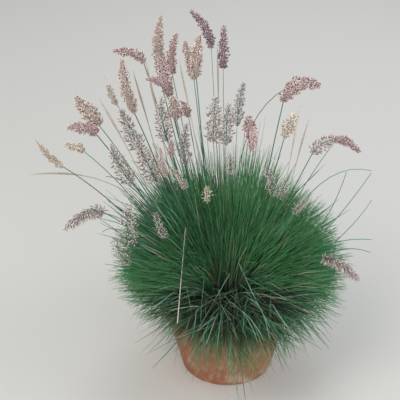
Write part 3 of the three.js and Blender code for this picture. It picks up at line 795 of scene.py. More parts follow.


# %% [markdown]
# ## The flower heads' places
#
# Every head is given as seen from the camera's standpoint: where its foot and its tip appear, and how
# far back it really is. The list gives each head's form and colour, and a small function turns what is
# seen into a place in the frame. Its stalk then runs from the crown to the head's foot in one low arch.

# %% The list of heads
# Name, form and colour, then foot and tip as millimetres across, up and back, and last the radius.
HEADS = [
    ["head_01", "plume", "cream", [-121, 412, 116], [-123, 522, 150], 11],
    ["head_02", "plume", "pink", [-107, 371, -20], [-127, 444, 0], 11],
    ["head_03", "plume", "pink", [-102, 413, 60], [-94, 490, 75], 9.5],
    ["head_04", "plume", "pink", [-122, 392, -75], [-151, 404, -92], 6.5],
    ["head_05", "plume", "pink", [-155, 434, 60], [-211, 457, 70], 8.5],
    ["head_06", "plume", "cream", [-173, 342, -30], [-196, 442, -20], 10.5],
    ["head_07", "spike", "dried", [-205, 357, 130], [-228, 412, 150], 6],
    ["head_08", "plume", "cream", [-237, 317, 40], [-282, 371, 50], 15],
    ["head_09", "plume", "pink", [-243, 301, -70], [-296, 314, -92], 11.5],
    ["head_10", "plume", "dried", [-266, 270, 110], [-302, 282, 125], 9],
    ["head_11", "knobs", "dried", [-306, 242, -20], [-358, 293, -25], 6.5],
    ["head_12", "comb", "silver", [-230, 157, -60], [-301, 126, -80], 9.5],
    ["head_13", "open", "silver", [-163, 275, -60], [-198, 346, -75], 15.5],
    ["head_14", "open", "silver", [-131, 214, -110], [-166, 291, -135], 16],
    ["head_15", "open", "silver", [-178, 211, -95], [-216, 280, -115], 14],
    ["head_16", "open", "silver", [-112, 290, -90], [-123, 368, -105], 14],
    ["head_17", "plume", "cream", [-95, 330, -50], [-102, 371, -60], 12.5],
    ["head_18", "plume", "pink", [-72, 334, 80], [-87, 364, 92], 8.5],
    ["head_19", "plume", "pink", [-102, 262, -150], [-104, 292, -160], 5.5],
    ["head_20", "open", "silver", [-77, 246, -45], [-75, 320, -50], 11],
    ["head_21", "plume", "cream", [-62, 404, 60], [-80, 474, 66], 11],
    ["head_22", "plume", "cream", [-58, 408, -20], [-51, 484, -26], 11.5],
    ["head_23", "plume", "mauve", [-30, 462, 150], [-68, 531, 172], 9],
    ["head_24", "plume", "mauve", [-8, 424, 95], [-6, 502, 108], 9],
    ["head_25", "open", "silver", [-26, 288, -60], [-21, 370, -70], 15],
    ["head_26", "open", "silver", [-3, 283, 25], [3, 357, 30], 13.5],
    ["head_27", "open", "silver", [18, 318, 160], [30, 397, 180], 10.5],
    ["head_28", "plume", "pink", [41, 325, -85], [46, 271, -135], 11.5],
    ["head_29", "plume", "pink", [104, 363, -30], [146, 392, -36], 11.5],
    ["head_30", "plume", "pink", [110, 388, 110], [173, 393, 125], 12.5],
    ["head_31", "spike", "dried", [106, 296, -65], [139, 355, -80], 8.5],
    ["head_32", "open", "pink", [158, 266, 0], [208, 296, 5], 12],
    ["head_33", "plume", "pink", [200, 288, 110], [246, 270, 120], 9],
    ["head_34", "comb", "silver", [178, 70, -110], [245, 31, -130], 9],
    ["head_35", "loose", "silver", [96, 184, -100], [109, 216, -110], 10],
    ["head_36", "loose", "silver", [124, 155, -150], [151, 184, -165], 8],
    ["head_37", "loose", "silver", [6, 229, -140], [5, 266, -155], 9],
    ["head_38", "loose", "silver", [82, 189, -75], [70, 239, -84], 10],
    ["head_39", "loose", "cream", [-78, 203, -195], [-104, 239, -212], 7],
    ["head_40", "plume", "cream", [-114, 224, -165], [-125, 276, -180], 5],
    ["head_41", "loose", "silver", [-115, 112, -200], [-134, 156, -215], 7.5],
    ["head_42", "loose", "silver", [-172, 104, -150], [-180, 172, -165], 16],
    ["head_43", "loose", "silver", [-180, 64, -115], [-206, 108, -122], 12],
    ["head_44", "loose", "dried", [-38, 180, -215], [-37, 206, -225], 6.5],
]


def as_seen(seen):
    """The place that appears at (across, up) in millimetres from the eye, at the real distance y back."""
    across, up, back = (number * MM for number in seen)
    sine, cosine = math.sin(EYE_RISE), math.cos(EYE_RISE)
    share = (back - EYE_UP * sine + EYE_DISTANCE * cosine) / ((up - EYE_UP) * sine + EYE_DISTANCE * cosine)
    seen_up = EYE_UP + share * (up - EYE_UP)
    nearer = EYE_DISTANCE * (1 - share)
    return Vector((
        EYE_ACROSS + share * (across - EYE_ACROSS),
        seen_up * sine - nearer * cosine,
        SOIL_TOP + seen_up * cosine + nearer * sine,
    ))


# %% Stalks, as lines from the crown to each head
STALK_RADIUS = 1.1 * MM
STALK_ARCH = 0.16
STALK_STEPS, AXIS_STEPS = 12, 16
STALK_RINGS = 16 * MM, CROWN_RADIUS - 10 * MM
FURTHEST_REACH = 0.26
# One stalk makes a high bow of its own, and this is where it bends.
KNEES = {"head_30": (-16, 321, 60)}


def tuft_at(angle):
    return round(angle / TUFT_ANGLE) % len(TUFTS)


def stalk_and_axis(base_seen, tip_seen, knee_seen):
    """The stalk's points and the axis of the head that it carries, bending over from foot to tip."""
    base, tip = as_seen(base_seen), as_seen(tip_seen)
    reach = math.hypot(base.x, base.y)
    angle = math.atan2(base.y, base.x)
    foot = on_ring(lerp(*STALK_RINGS, min(reach / FURTHEST_REACH, 1)), angle, ROOT_HEIGHT)
    knee = as_seen(knee_seen) if knee_seen else foot.lerp(base, 0.55) + Vector((0, 0, STALK_ARCH * reach))
    stalk = bent(foot, knee, base, STALK_STEPS)
    heading = (base - knee).normalized()
    ahead = heading.dot((tip - base).normalized())
    bow = base + heading * (tip - base).length * lerp(0.14, 0.5, (ahead + 1) / 2)
    return tuft_at(angle), stalk, bent(base, bow, tip, AXIS_STEPS)


stalks = {tuft: [] for tuft in range(len(TUFTS))}
axes = {}
for name, _, _, base_seen, tip_seen, _ in HEADS:
    tuft, stalk, axes[name] = stalk_and_axis(base_seen, tip_seen, KNEES.get(name))
    stalks[tuft].append(stalk)
print("stalks in each tuft:", [len(group) for group in stalks.values()])

# %% [markdown]
# ## Growing the eight tufts
#
# A few long leaves stand out of the mound on both sides. They are lines from the crown's edge that bend
# once, like the stalks. At the front some broad ribbons have folded over and lie on the skirt, and these
# too are listed as seen. Then every tuft gets all its lines as one mesh: its leaves, old ones that lie
# loose or hang folded, bare sheaths, tall thin leaves, stalks, long leaves and ribbons. The sweeping tree
# turns them into blades.

# %% Long leaves: where each one's knee and tip appear
LONG_LEAVES = [
    [[150, 268, 30], [269, 234, 40]],
    [[178, 92, 62], [222, 232, 80]],
    [[175, 95, -20], [268, 230, -10]],
    [[205, 80, 20], [269, 180, 30]],
    [[150, 118, -48], [269, 106, -80]],
    [[180, 118, -95], [267, 82, -135]],
    [[-205, 195, -40], [-256, 146, -60]],
    [[-150, 226, -30], [-226, 224, -40]],
    [[-196, 160, -70], [-233, 120, -85]],
    [[-190, 128, -90], [-219, 100, -105]],
]
long_leaves = {tuft: [] for tuft in range(len(TUFTS))}
for knee_seen, tip_seen in LONG_LEAVES:
    knee, tip = as_seen(knee_seen), as_seen(tip_seen)
    angle = math.atan2(tip.y, tip.x)
    foot = on_ring(CROWN_RADIUS - 8 * MM, angle, ROOT_HEIGHT)
    long_leaves[tuft_at(angle)].append(bent(foot, knee, tip, STALK_STEPS))

# %% Ribbons: where each one's knee, middle and end appear, its width in millimetres and its tint
RIBBONS = [
    [(-43, 36), (-46, 6), (-50, -47), 4.8, 0.62],
    [(-9, -27), (-14, -55), (-19, -95), 5.2, 0.6],
    [(-57, -28), (-61, -53), (-65, -78), 4.8, 0.62],
    [(-19, -32), (-30, -63), (-40, -90), 3.4, 0.8],
    [(-22, -38), (-36, -47), (-55, -64), 2.6, 0.84],
    [(39, -2), (33, -24), (29, -66), 4.2, 0.64],
    [(21, 64), (46, 8), (80, -58), 3.6, 0.84],
    [(43, -5), (64, -27), (79, -79), 3.4, 0.8],
    [(2, -9), (32, -34), (56, -83), 3.0, 0.78],
    [(10, -18), (40, -39), (69, -83), 2.6, 0.84],
    [(56, 43), (88, 28), (117, 8), 2.6, 0.7],
    [(35, 35), (69, 17), (114, -7), 3.6, 0.68],
    [(81, 67), (81, 19), (81, -35), 3.2, 0.62],
    [(85, -16), (98, -37), (114, -59), 2.8, 0.84],
    [(5, 44), (-22, -4), (-56, -64), 3.0, 0.8],
    [(-101, 7), (-123, -10), (-142, -26), 3.0, 0.84],
    [(-52, -19), (-71, -19), (-107, -26), 3.0, 0.8],
    [(-88, 25), (-115, 17), (-142, 7), 2.4, 0.82],
    [(-77, 22), (-73, 3), (-67, -29), 2.4, 0.76],
    [(-30, -39), (-40, -63), (-48, -85), 4.2, 0.6],
]


SKIRT_START, SKIRT_END = -115, -238
SKIRT_LEVEL, SKIRT_FALL = 16, 1.19
RISING_STEPS, LYING_STEPS = 3, 8
RIBBON_TAPER = 0.9, 0.74


def on_skirt(across, up):
    """The place on the skirt of leaves at the front that appears at (across, up) from the eye."""
    back = SKIRT_START - SKIRT_FALL * max(0, SKIRT_LEVEL - up)
    spot = as_seen((across, up, max(back, SKIRT_END)))
    reach = 0.98 * mound_reach(math.atan2(spot.y, spot.x), MOST_LEAN)
    if math.hypot(spot.x, spot.y) > reach:
        spot = as_seen((across, up, -math.sqrt(reach**2 - spot.x**2) / MM))
    return spot


ribbons = {tuft: [] for tuft in range(len(TUFTS))}
for *seen, width, tint in RIBBONS:
    knee, middle, end = (on_skirt(*place) for place in seen)
    angle = math.atan2(knee.y, knee.x)
    foot = on_ring(CROWN_RADIUS - 6 * MM, angle, ROOT_HEIGHT)
    rising = bent(foot, foot.lerp(knee, 0.5) + Vector((0, 0, 8 * MM)), knee, RISING_STEPS)
    lying = bent(knee, middle * 2 - (knee + end) / 2, end, LYING_STEPS)
    steps = RISING_STEPS + LYING_STEPS
    girths = [width * MM * lerp(*RIBBON_TAPER, i / (steps - 1)) for i in range(steps)] + [width * 0.3 * MM]
    ribbons[tuft_at(angle)].append({"points": rising + lying[1:], "girths": girths, "culm": 1, "tint": tint})
print("ribbons in each tuft:", [len(group) for group in ribbons.values()])

# %% All the lines of each tuft
# How many of each kind, for the tufts from the right round by the back and the left to the front right.
LOOSE_LEAVES = [60, 24, 24, 24, 80, 180, 220, 170]
BARE_SHEATHS = [4, 0, 0, 0, 10, 34, 54, 28]
FOLDED_LEAVES = [14, 0, 0, 0, 20, 70, 120, 80]
TALL_LEAVES = [8, 6, 12, 60, 84, 44, 0, 3]
OLD_LEAF_WIDTHS = [width * MM for width in (1.3, 1.6, 2.1, 2.6, 3.2)]
TALL_LEAF_WIDTH, LONG_LEAF_WIDTH = 2.2 * MM, 3.2 * MM
for tuft, side in enumerate(TUFTS):
    draw = random.Random(100 + tuft)
    lines = []
    for order in range(BLADES_PER_TUFT):
        points = mound_leaf(tuft, (order + 0.5) / BLADES_PER_TUFT, draw)
        girths = leaf_girths(leaf_width(draw))
        lines.append({"points": points, "girths": girths, "culm": 0, "tint": draw.random()})
    for order in range(LOOSE_LEAVES[tuft] + FOLDED_LEAVES[tuft]):
        girths = leaf_girths(draw.choice(OLD_LEAF_WIDTHS))
        points = loose_leaf(tuft, draw) if order < LOOSE_LEAVES[tuft] else folded_leaf(tuft, draw)
        lines.append({"points": points, "girths": girths, "culm": 1, "tint": draw.random()})
    for _ in range(BARE_SHEATHS[tuft]):
        girths = leaf_girths(draw.uniform(2.0, 3.0) * MM)
        points = bare_sheath(tuft, draw)
        lines.append({"points": points, "girths": girths, "culm": 0, "tint": draw.uniform(0, 0.3)})
    for _ in range(TALL_LEAVES[tuft]):
        turn = (tuft + draw.uniform(-0.5, 0.5)) * TUFT_ANGLE
        lean = math.radians(draw.uniform(14, 50))
        points = leaf_line(turn, turn + draw.gauss(0, 0.12), lean, draw.uniform(1.05, 1.3), draw)
        girths = leaf_girths(TALL_LEAF_WIDTH)
        lines.append({"points": points, "girths": girths, "culm": 1, "tint": draw.random()})
    for points in stalks[tuft]:
        girths = [2 * STALK_RADIUS * lerp(1.15, 0.85, i / STALK_STEPS) for i in range(STALK_STEPS + 1)]
        lines.append({"points": points, "girths": girths, "culm": 1, "tint": draw.uniform(0, 0.62)})
    for points in long_leaves[tuft]:
        girths = [LONG_LEAF_WIDTH * lerp(1, 0.5, i / STALK_STEPS) for i in range(STALK_STEPS + 1)]
        lines.append({"points": points, "girths": girths, "culm": 1, "tint": draw.uniform(0.5, 0.85)})
    lines += ribbons[tuft]
    leaves = piece_of("leaves_" + side, lines_mesh("leaves_" + side, lines))
    grow(leaves, blade_tree, keel=0.55, finish=leaf_finish)
    tie(leaves, "leaf", "tuft_" + side)
    print(leaves.name, "has", len(lines), "blades and", triangles(leaves.data), "triangles")

# %% [markdown]
# ## The flower heads
#
# A ruby grass head is a branched panicle. While it is young it is closed and looks like a plume. Later
# its branches open, and the spikelets hang apart on hair-thin stalks, evenly in some heads, loosely in
# others, and in a comb where the head lies over. Dried heads keep only knobs or a spike of them. All six
# forms are the same rule with other sizes: spikelets sit round an axis at the golden angle, at a share of
# the head's radius, and lean towards its tip. Noise pushes whole groups of them in and out, which gives
# the lobed outline.

# %% One spikelet, and one hair-thin stalk
def spikelet_mesh():
    """A pointed oval one unit long with one silky hair, and `along` from its foot to its tip."""
    shape = bmesh.new()
    level = shape.verts.layers.float.new("along")
    sides = 4

    def corner(x, y, z, value):
        made = shape.verts.new((x, y, z))
        made[level] = value
        return made

    rings = []
    for height, radius in ((0.3, 0.24), (0.66, 0.23)):
        rings.append([
            corner(radius * math.cos(a), radius * 0.8 * math.sin(a), height, height)
            for a in (math.tau * i / sides for i in range(sides))
        ])
    foot, tip = corner(0, 0, 0, 0), corner(0.04, 0, 1, 1)
    for i in range(sides):
        j = (i + 1) % sides
        shape.faces.new((rings[0][j], rings[0][i], foot))
        shape.faces.new((rings[0][i], rings[0][j], rings[1][j], rings[1][i]))
        shape.faces.new((rings[1][i], rings[1][j], tip))
    hair_turn, hair_foot, hair_reach = 0.4, 0.5, 0.6
    out = on_ring(0.2, hair_turn, hair_foot)
    side = on_ring(0.024, hair_turn + math.pi / 2, 0)
    hair = [corner(*spot, hair_foot) for spot in (out + side, out - side, out + Vector((0, 0, 0.05)))]
    hair.append(corner(*on_ring(0.36, hair_turn, hair_foot + hair_reach), 1))
    for a, b, c in ((0, 1, 2), (0, 3, 1), (1, 3, 2), (2, 3, 0)):
        shape.faces.new((hair[a], hair[b], hair[c]))
    bmesh.ops.recalc_face_normals(shape, faces=shape.faces)
    return mesh_of("spikelet", shape)


def pedicel_mesh():
    """A three-sided stalk one unit long and one unit thick."""
    shape = bmesh.new()
    bmesh.ops.create_cone(shape, cap_ends=True, segments=3, radius1=0.5, radius2=0.35, depth=1,
                          matrix=Matrix.Translation((0, 0, 0.5)))
    return mesh_of("pedicel", shape)


spikelet = piece_of("spikelet", spikelet_mesh())
pedicel = piece_of("pedicel", pedicel_mesh())
print("a spikelet has", triangles(spikelet.data), "triangles")

# %% The rule of a flower head
GOLDEN_ANGLE = math.pi * (3 - math.sqrt(5))
head_tree, given = start_tree(
    "flower head",
    {"Spikelet": "object", "Pedicel": "object", "Spikelets": "number", "Radius": "length", "Belly": "length",
     "End": "length", "Core": "length", "Forward": "length", "Hang": "length", "Lobes": "length",
     "Lobe size": "length", "Spikelet length": "length", "Slim": "length", "Inner": "length",
     "Stem": "length", "Heart": "length", "Filled": "length", "Open": "switch", "Seed": "number",
     "Finish": "finish"},
)
axis = add(head_tree, "GeometryNodeMeshToCurve", given["Geometry"])
index = add(head_tree, "GeometryNodeInputIndex")
jitter = add(head_tree, "FunctionNodeRandomValue", -0.02, 0.02, data_type="FLOAT",
             sockets={"Seed": given["Seed"]})
counted = add(head_tree, "ShaderNodeMath", index, 0.5, operation="ADD")
even = add(head_tree, "ShaderNodeMath", counted, given["Spikelets"], operation="DIVIDE")
share = add(head_tree, "ShaderNodeMath", even, given["Filled"], jitter, operation="MULTIPLY_ADD",
            use_clamp=True)
on_axis = add(head_tree, "GeometryNodeSampleCurve", axis, mode="FACTOR", sockets={"Factor": share})
centre, heading, across = (on_axis.outputs[name] for name in ("Position", "Tangent", "Normal"))
inner = add(head_tree, "ShaderNodeVectorMath", heading, across, operation="CROSS_PRODUCT")
wobble = add(head_tree, "FunctionNodeRandomValue", -0.5, 0.5, data_type="FLOAT",
             sockets={"Seed": given["Seed"]})
spiral = add(head_tree, "ShaderNodeMath", index, GOLDEN_ANGLE, wobble, operation="MULTIPLY_ADD")
cosine = add(head_tree, "ShaderNodeMath", spiral, operation="COSINE")
sine = add(head_tree, "ShaderNodeMath", spiral, operation="SINE")
across_part = add(head_tree, "ShaderNodeVectorMath", across, operation="SCALE",
                  sockets={"Scale": cosine.outputs[0]})
inner_part = add(head_tree, "ShaderNodeVectorMath", inner, operation="SCALE",
                 sockets={"Scale": sine.outputs[0]})
outward = add(head_tree, "ShaderNodeVectorMath", across_part, inner_part, operation="ADD")

# The head swells quickly up to its belly and thins slowly towards its end.
to_belly = add(head_tree, "ShaderNodeMath", share, given["Belly"], operation="DIVIDE", use_clamp=True)
rising = add(head_tree, "ShaderNodeMapRange", to_belly, 0.0, 1.0, math.pi / 8, math.pi / 2)
swell = add(head_tree, "ShaderNodeMath", rising, operation="SINE")
past_belly = add(head_tree, "ShaderNodeMapRange", share, given["Belly"], 1.0, 0.0, 1.0)
eased = add(head_tree, "ShaderNodeMath", past_belly, 1.4, operation="POWER")
thinning = add(head_tree, "ShaderNodeMapRange", eased, 0.0, 1.0, 1.0, given["End"])
fullness = add(head_tree, "ShaderNodeMath", swell, thinning, operation="MULTIPLY")
width = add(head_tree, "ShaderNodeMath", fullness, given["Radius"], operation="MULTIPLY")

# Noise in the round pushes groups of spikelets in and out, and so makes lobes.
rim = add(head_tree, "ShaderNodeVectorMath", outward, operation="SCALE", sockets={"Scale": given["Radius"]})
probe = add(head_tree, "ShaderNodeVectorMath", centre, rim, operation="ADD")
lobe_noise = add(head_tree, "ShaderNodeTexNoise", probe,
                 sockets={"Scale": given["Lobe size"], "Detail": 1.0})
lobe = add(head_tree, "ShaderNodeMapRange", lobe_noise.outputs[0], 0.3, 0.7, -1.0, 1.0)
lobed = add(head_tree, "ShaderNodeMath", lobe, given["Lobes"], 1.0, operation="MULTIPLY_ADD")
depth = add(head_tree, "FunctionNodeRandomValue", given["Inner"], 1.05, data_type="FLOAT",
            sockets={"Seed": given["Seed"]})
lobed_width = add(head_tree, "ShaderNodeMath", width, lobed, operation="MULTIPLY")
layered = add(head_tree, "ShaderNodeMath", lobed_width, depth, operation="MULTIPLY")
seat_out = add(head_tree, "ShaderNodeMath", layered, given["Core"], operation="MULTIPLY")
seat_arm = add(head_tree, "ShaderNodeVectorMath", outward, operation="SCALE",
               sockets={"Scale": seat_out.outputs[0]})
seat = add(head_tree, "ShaderNodeVectorMath", centre, seat_arm, operation="ADD")

# Each spikelet leans forward, and in an old open head it also hangs.
forward = add(head_tree, "ShaderNodeVectorMath", heading, operation="SCALE",
              sockets={"Scale": given["Forward"]})
leaning = add(head_tree, "ShaderNodeVectorMath", outward, forward, operation="ADD")
stray = add(head_tree, "FunctionNodeRandomValue", (-0.35,) * 3, (0.35,) * 3, data_type="FLOAT_VECTOR",
            sockets={"Seed": given["Seed"]})
strayed = add(head_tree, "ShaderNodeVectorMath", leaning, stray, operation="ADD")
pull = add(head_tree, "ShaderNodeCombineXYZ", 0.0, 0.0, -1.0)
aim_way = add(head_tree, "ShaderNodeMix", given["Hang"], strayed, pull, data_type="VECTOR")
facing = add(head_tree, "FunctionNodeAlignRotationToVector", None, 1.0, aim_way, axis="Z")
spin = add(head_tree, "FunctionNodeRandomValue", 0.0, math.tau, data_type="FLOAT",
           sockets={"Seed": given["Seed"]})
own_turn = add(head_tree, "FunctionNodeAxisAngleToRotation", (0, 0, 1), spin)
turned = add(head_tree, "FunctionNodeRotateRotation", facing, own_turn, rotation_space="LOCAL")
sized = add(head_tree, "FunctionNodeRandomValue", 0.78, 1.15, data_type="FLOAT",
            sockets={"Seed": given["Seed"]})
long_by = add(head_tree, "ShaderNodeMath", sized, given["Spikelet length"], operation="MULTIPLY")
tapering = add(head_tree, "ShaderNodeMapRange", share, 0.7, 1.0, 1.0, 0.6)
final_length = add(head_tree, "ShaderNodeMath", long_by, tapering, operation="MULTIPLY")
final_width = add(head_tree, "ShaderNodeMath", final_length, given["Slim"], operation="MULTIPLY")
final_size = add(head_tree, "ShaderNodeCombineXYZ", final_width, final_width, final_length)
seats = add(head_tree, "GeometryNodePoints", given["Spikelets"], seat)
spikelets = add(head_tree, "GeometryNodeInstanceOnPoints", seats, None,
                add(head_tree, "GeometryNodeObjectInfo", given["Spikelet"]).outputs["Geometry"],
                sockets={"Rotation": turned, "Scale": final_size})
aged = add(head_tree, "GeometryNodeStoreNamedAttribute", spikelets, None, "young",
           add(head_tree, "ShaderNodeMath", 1.0, share, operation="SUBTRACT"), data_type="FLOAT",
           domain="INSTANCE")
tinted = add(head_tree, "GeometryNodeStoreNamedAttribute", aged, None, "tint",
             add(head_tree, "FunctionNodeRandomValue", 0.0, 1.0, data_type="FLOAT",
                 sockets={"Seed": given["Seed"]}),
             data_type="FLOAT", domain="INSTANCE")

# In an open head a hair-thin stalk runs to each spikelet from a little lower on the axis.
drop_by = add(head_tree, "ShaderNodeMath", seat_out, -0.7, operation="MULTIPLY")
drop = add(head_tree, "ShaderNodeVectorMath", heading, operation="SCALE",
           sockets={"Scale": drop_by.outputs[0]})
root = add(head_tree, "ShaderNodeVectorMath", centre, drop, operation="ADD")
reach = add(head_tree, "ShaderNodeVectorMath", seat, root, operation="SUBTRACT")
reach_length = add(head_tree, "ShaderNodeVectorMath", reach, operation="LENGTH").outputs["Value"]
thin = add(head_tree, "ShaderNodeMath", given["Stem"], 0.42, operation="MULTIPLY")
stalk_scale = add(head_tree, "ShaderNodeCombineXYZ", thin, thin, reach_length)
roots = add(head_tree, "GeometryNodePoints", given["Spikelets"], root)
stalklets = add(head_tree, "GeometryNodeInstanceOnPoints", roots, given["Open"],
                add(head_tree, "GeometryNodeObjectInfo", given["Pedicel"]).outputs["Geometry"],
                sockets={"Rotation": add(head_tree, "FunctionNodeAlignRotationToVector", None, 1.0, reach,
                                         axis="Z").outputs[0],
                         "Scale": stalk_scale})
section = add(head_tree, "GeometryNodeCurvePrimitiveCircle", 5, sockets={"Radius": given["Stem"]})
rachis_taper = add(head_tree, "ShaderNodeMapRange", add(head_tree, "GeometryNodeSplineParameter"),
                   0.0, 1.0, 1.0, 0.4)
rachis = add(head_tree, "GeometryNodeCurveToMesh", axis, section, rachis_taper, True)

# A closed head is too dense to see through: its heart is a dull mass of inner branches and chaff. One
# value of `along` all over it keeps it the middle colour of the head.
grown = add(head_tree, "ShaderNodeMath", add(head_tree, "GeometryNodeSplineParameter"), 0.8,
            operation="POWER")
half_turn = add(head_tree, "ShaderNodeMath", grown, math.pi, operation="MULTIPLY")
arch = add(head_tree, "ShaderNodeMath", half_turn, operation="SINE")
blunt = add(head_tree, "ShaderNodeMath", arch, 0.6, operation="POWER")
heart_width = add(head_tree, "ShaderNodeMath", blunt, given["Heart"], 0.1 * MM, operation="MULTIPLY_ADD")
heart_section = add(head_tree, "GeometryNodeCurvePrimitiveCircle", 7, sockets={"Radius": 1.0})
heart = add(head_tree, "GeometryNodeCurveToMesh", axis, heart_section, heart_width, True)
HEART_ALONG = 0.43
dull_heart = add(head_tree, "GeometryNodeStoreNamedAttribute", heart, None, "along", HEART_ALONG,
                 data_type="FLOAT", domain="POINT")
wood = head_tree.nodes.new("GeometryNodeJoinGeometry")
for part in (rachis, stalklets):
    head_tree.links.new(part.outputs[0], wood.inputs[0])
real_wood = add(head_tree, "GeometryNodeRealizeInstances", wood)
stems = add(head_tree, "GeometryNodeStoreNamedAttribute", real_wood, None, "stem", 1.0, data_type="FLOAT",
            domain="POINT")
whole = head_tree.nodes.new("GeometryNodeJoinGeometry")
for part in (tinted, stems, dull_heart):
    head_tree.links.new(part.outputs[0], whole.inputs[0])
end_tree(head_tree, whole, given["Finish"])
print("the head's rule has", len(head_tree.nodes), "nodes")

# %% Grow the heads
FORMS = {
    "plume": dict(belly=0.34, end=0.26, core=0.62, forward=0.6, hang=0.0, lobes=0.5, lobe_size=105.0,
                  spikelet_share=0.5, slim=1.05, inner=0.72, spacing=0.72, open=False, heart=0.46,
                  filled=1.0),
    "open": dict(belly=0.24, end=0.16, core=0.76, forward=0.75, hang=0.06, lobes=0.3, lobe_size=60.0,
                 spikelet_share=0.54, slim=0.68, inner=0.3, spacing=0.8, open=True, heart=0.0, filled=1.0),
    "loose": dict(belly=0.3, end=0.3, core=0.85, forward=0.5, hang=0.12, lobes=0.5, lobe_size=80.0,
                  spikelet_share=0.4, slim=0.8, inner=0.15, spacing=1.15, open=True, heart=0.0, filled=1.0),
    "comb": dict(belly=0.18, end=0.3, core=0.62, forward=0.35, hang=0.45, lobes=0.25, lobe_size=60.0,
                 spikelet_share=1.1, slim=0.34, inner=0.4, spacing=0.36, open=True, heart=0.0, filled=1.0),
    "knobs": dict(belly=0.4, end=0.1, core=0.6, forward=0.7, hang=0.0, lobes=0.9, lobe_size=110.0,
                  spikelet_share=0.62, slim=1.3, inner=0.4, spacing=0.66, open=False, heart=0.1, filled=0.9),
    "spike": dict(belly=0.26, end=0.0, core=0.66, forward=0.6, hang=0.0, lobes=0.95, lobe_size=150.0,
                  spikelet_share=0.62, slim=1.3, inner=0.3, spacing=0.86, open=False, heart=0.08,
                  filled=0.64),
}
LONGEST_SPIKELET, SHORTEST_SPIKELET = 10.5 * MM, 3.4 * MM
FULL_PLUME, PLUME_SPIKELET = 8, 5.4 * MM
RACHIS_RADIUS = 0.7 * MM
head_total = 0
for order, (name, form, colour, _, _, radius) in enumerate(HEADS):
    sizes = dict(FORMS[form])
    spikelet_length = sizes.pop("spikelet_share") * radius * MM
    spikelet_length = min(max(spikelet_length, SHORTEST_SPIKELET), LONGEST_SPIKELET)
    if form == "plume" and radius > FULL_PLUME:
        spikelet_length = max(spikelet_length, PLUME_SPIKELET)
    spacing = sizes.pop("spacing") * spikelet_length
    sizes["heart"] *= radius * MM
    points = axes[name]
    length = sum((b - a).length for a, b in zip(points, points[1:]))
    count = int(math.tau * radius * MM * length / spacing**2)
    line = {"points": points, "girths": [1] * len(points), "culm": 0, "tint": 0}
    head = piece_of("flower_" + name, lines_mesh("flower_" + name, [line]))
    grow(head, head_tree, spikelet=spikelet, pedicel=pedicel, spikelets=count, radius=radius * MM,
         spikelet_length=spikelet_length, stem=RACHIS_RADIUS, seed=order + 1,
         finish=HEAD_FINISHES[colour], **sizes)
    tie(head, "head_" + colour, name)
    head_total += triangles(head.data)
bpy.data.objects.remove(spikelet)
bpy.data.objects.remove(pedicel)
print("heads:", len(HEADS), "with", head_total, "triangles")
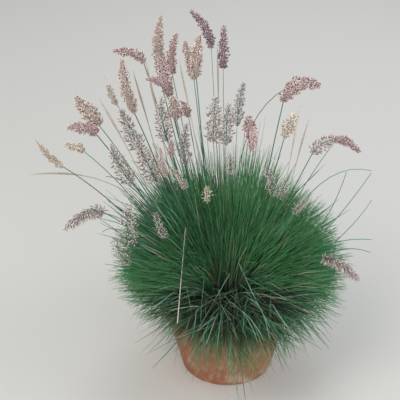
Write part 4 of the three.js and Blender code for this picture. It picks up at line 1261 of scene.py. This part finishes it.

# %% [markdown]
# ## Dead straws and thatch
#
# Last year's stalks stay in the clump as pale straws with a spindle of old chaff near their end. One has
# snapped and hangs down bare. At the foot the oldest leaves have rotted to a dark thatch. Its near-black
# and its thick, long growth under the front skirt are also painted shade, a dark backing there. Both are
# lines again, so the sweeping tree makes them too.

# %% Straws in three bunches
# The bunch and its hole's direction, then for each straw its tip across, up and back, where along it the
# straw bends, and how high it arches.
STRAWS = [
    ["straws_left", 168, [
        [-240, 371, 20, 0.5, 0.3],
        [-371, 227, 0, 0.21, 0.82],
        [-176, 422, 75, 0.5, 0.3],
        [-152, 440, 40, 0.5, 0.3],
    ]],
    ["straws_back", 100, [[-19, 472, 120, 0.5, 0.3], [-90, 440, 170, 0.5, 0.3]]],
    ["straws_right", 0, [[136, 347, 20, 0.5, 0.3], [152, 331, 60, 0.5, 0.3]]],
]
STRAW_RING = 66 * MM
STRAW_STEPS = 24
STRAW_WIDTH, SPINDLE_WIDTH = 2.4 * MM, 3.2 * MM
SNAPPED_AT, SNAPPED_END, SNAPPED_STEPS = (-78, 128, -112), (-93, -50, -176), 6
for order, (name, degrees, tips) in enumerate(STRAWS):
    draw = random.Random(300 + order)
    foot = on_ring(STRAW_RING, math.radians(degrees), SOIL_TOP)
    lines = []
    for i, (across, up, back, knee_share, arch) in enumerate(tips):
        tip = as_seen((across, up, back))
        start = foot + on_ring(2 * MM, i * 1.9, -8 * MM)
        knee = start.lerp(tip, knee_share)
        knee.z += arch * math.hypot(tip.x - start.x, tip.y - start.y)
        points = bent(start, knee, tip, STRAW_STEPS)
        girths = []
        for step in range(STRAW_STEPS + 1):
            share = step / STRAW_STEPS
            spindle = math.exp(-(((share - 0.87) / 0.08) ** 2))
            end = 1 if share < 0.99 else 0.2
            girths.append((STRAW_WIDTH * lerp(1, 0.7, share) + SPINDLE_WIDTH * spindle) * end)
        lines.append({"points": points, "girths": girths, "culm": 0, "tint": draw.random()})
    if name == "straws_left":
        snap, end = as_seen(SNAPPED_AT), as_seen(SNAPPED_END)
        rising = bent(foot, foot.lerp(snap, 0.5) + Vector((0, 0, 20 * MM)), snap, STRAW_STEPS // 2)
        hanging = [snap.lerp(end, (i + 1) / SNAPPED_STEPS) for i in range(SNAPPED_STEPS)]
        girths = [STRAW_WIDTH * 0.6] * len(rising)
        girths += [STRAW_WIDTH * lerp(0.7, 1.2, i / (SNAPPED_STEPS - 1)) for i in range(SNAPPED_STEPS)]
        lines.append({"points": rising + hanging, "girths": girths, "culm": 0, "tint": 1})
    straws = piece_of("dry_" + name, lines_mesh("dry_" + name, lines))
    grow(straws, blade_tree, keel=0.8, finish=straw_finish)
    tie(straws, "straw", name)
    print(straws.name, "has", triangles(straws.data), "triangles")

# %% Thatch at the foot of the clump
THATCH_COUNT, THATCH_STEPS = 2800, 4
THATCH_RING, THATCH_LENGTH, THATCH_WIDTH = (38, 56), (45, 120), (1.0, 2.2)
THATCH_LEAN, THATCH_BEND = (35, 75), math.radians(55)
draw = random.Random(400)
lines = []
# Much of the thatch leans to the front and grows longer there, as painted shade: a dark backing under the
# skirt.
while len(lines) < THATCH_COUNT:
    angle = draw.uniform(0, math.tau) if draw.random() < 0.55 else draw.gauss(-math.pi / 2, 0.6)
    spot = on_ring(draw.uniform(*THATCH_RING) * MM, angle, SOIL_TOP - 3 * MM)
    lean = math.radians(draw.uniform(*THATCH_LEAN))
    way = angle + draw.gauss(0, 0.35)
    length = draw.uniform(*THATCH_LENGTH) * lerp(1, 1.6, max(0, -math.sin(way))) * MM
    points = [spot.copy()]
    for i in range(THATCH_STEPS):
        tilt = lean + THATCH_BEND * (i / THATCH_STEPS) ** 1.2
        spot = spot + toward(tilt, way, length / THATCH_STEPS)
        points.append(spot)
    if clears_rim(points):
        girths = [draw.uniform(*THATCH_WIDTH) * MM * taper for taper in (0.9, 1, 0.9, 0.7, 0.2)]
        lines.append({"points": points, "girths": girths, "culm": 0, "tint": draw.random()})
thatch = piece_of("old_thatch", lines_mesh("old_thatch", lines))
grow(thatch, blade_tree, keel=0.6, finish=thatch_and_shade_finish)
tie(thatch, "straw")
print("thatch:", triangles(thatch.data), "triangles")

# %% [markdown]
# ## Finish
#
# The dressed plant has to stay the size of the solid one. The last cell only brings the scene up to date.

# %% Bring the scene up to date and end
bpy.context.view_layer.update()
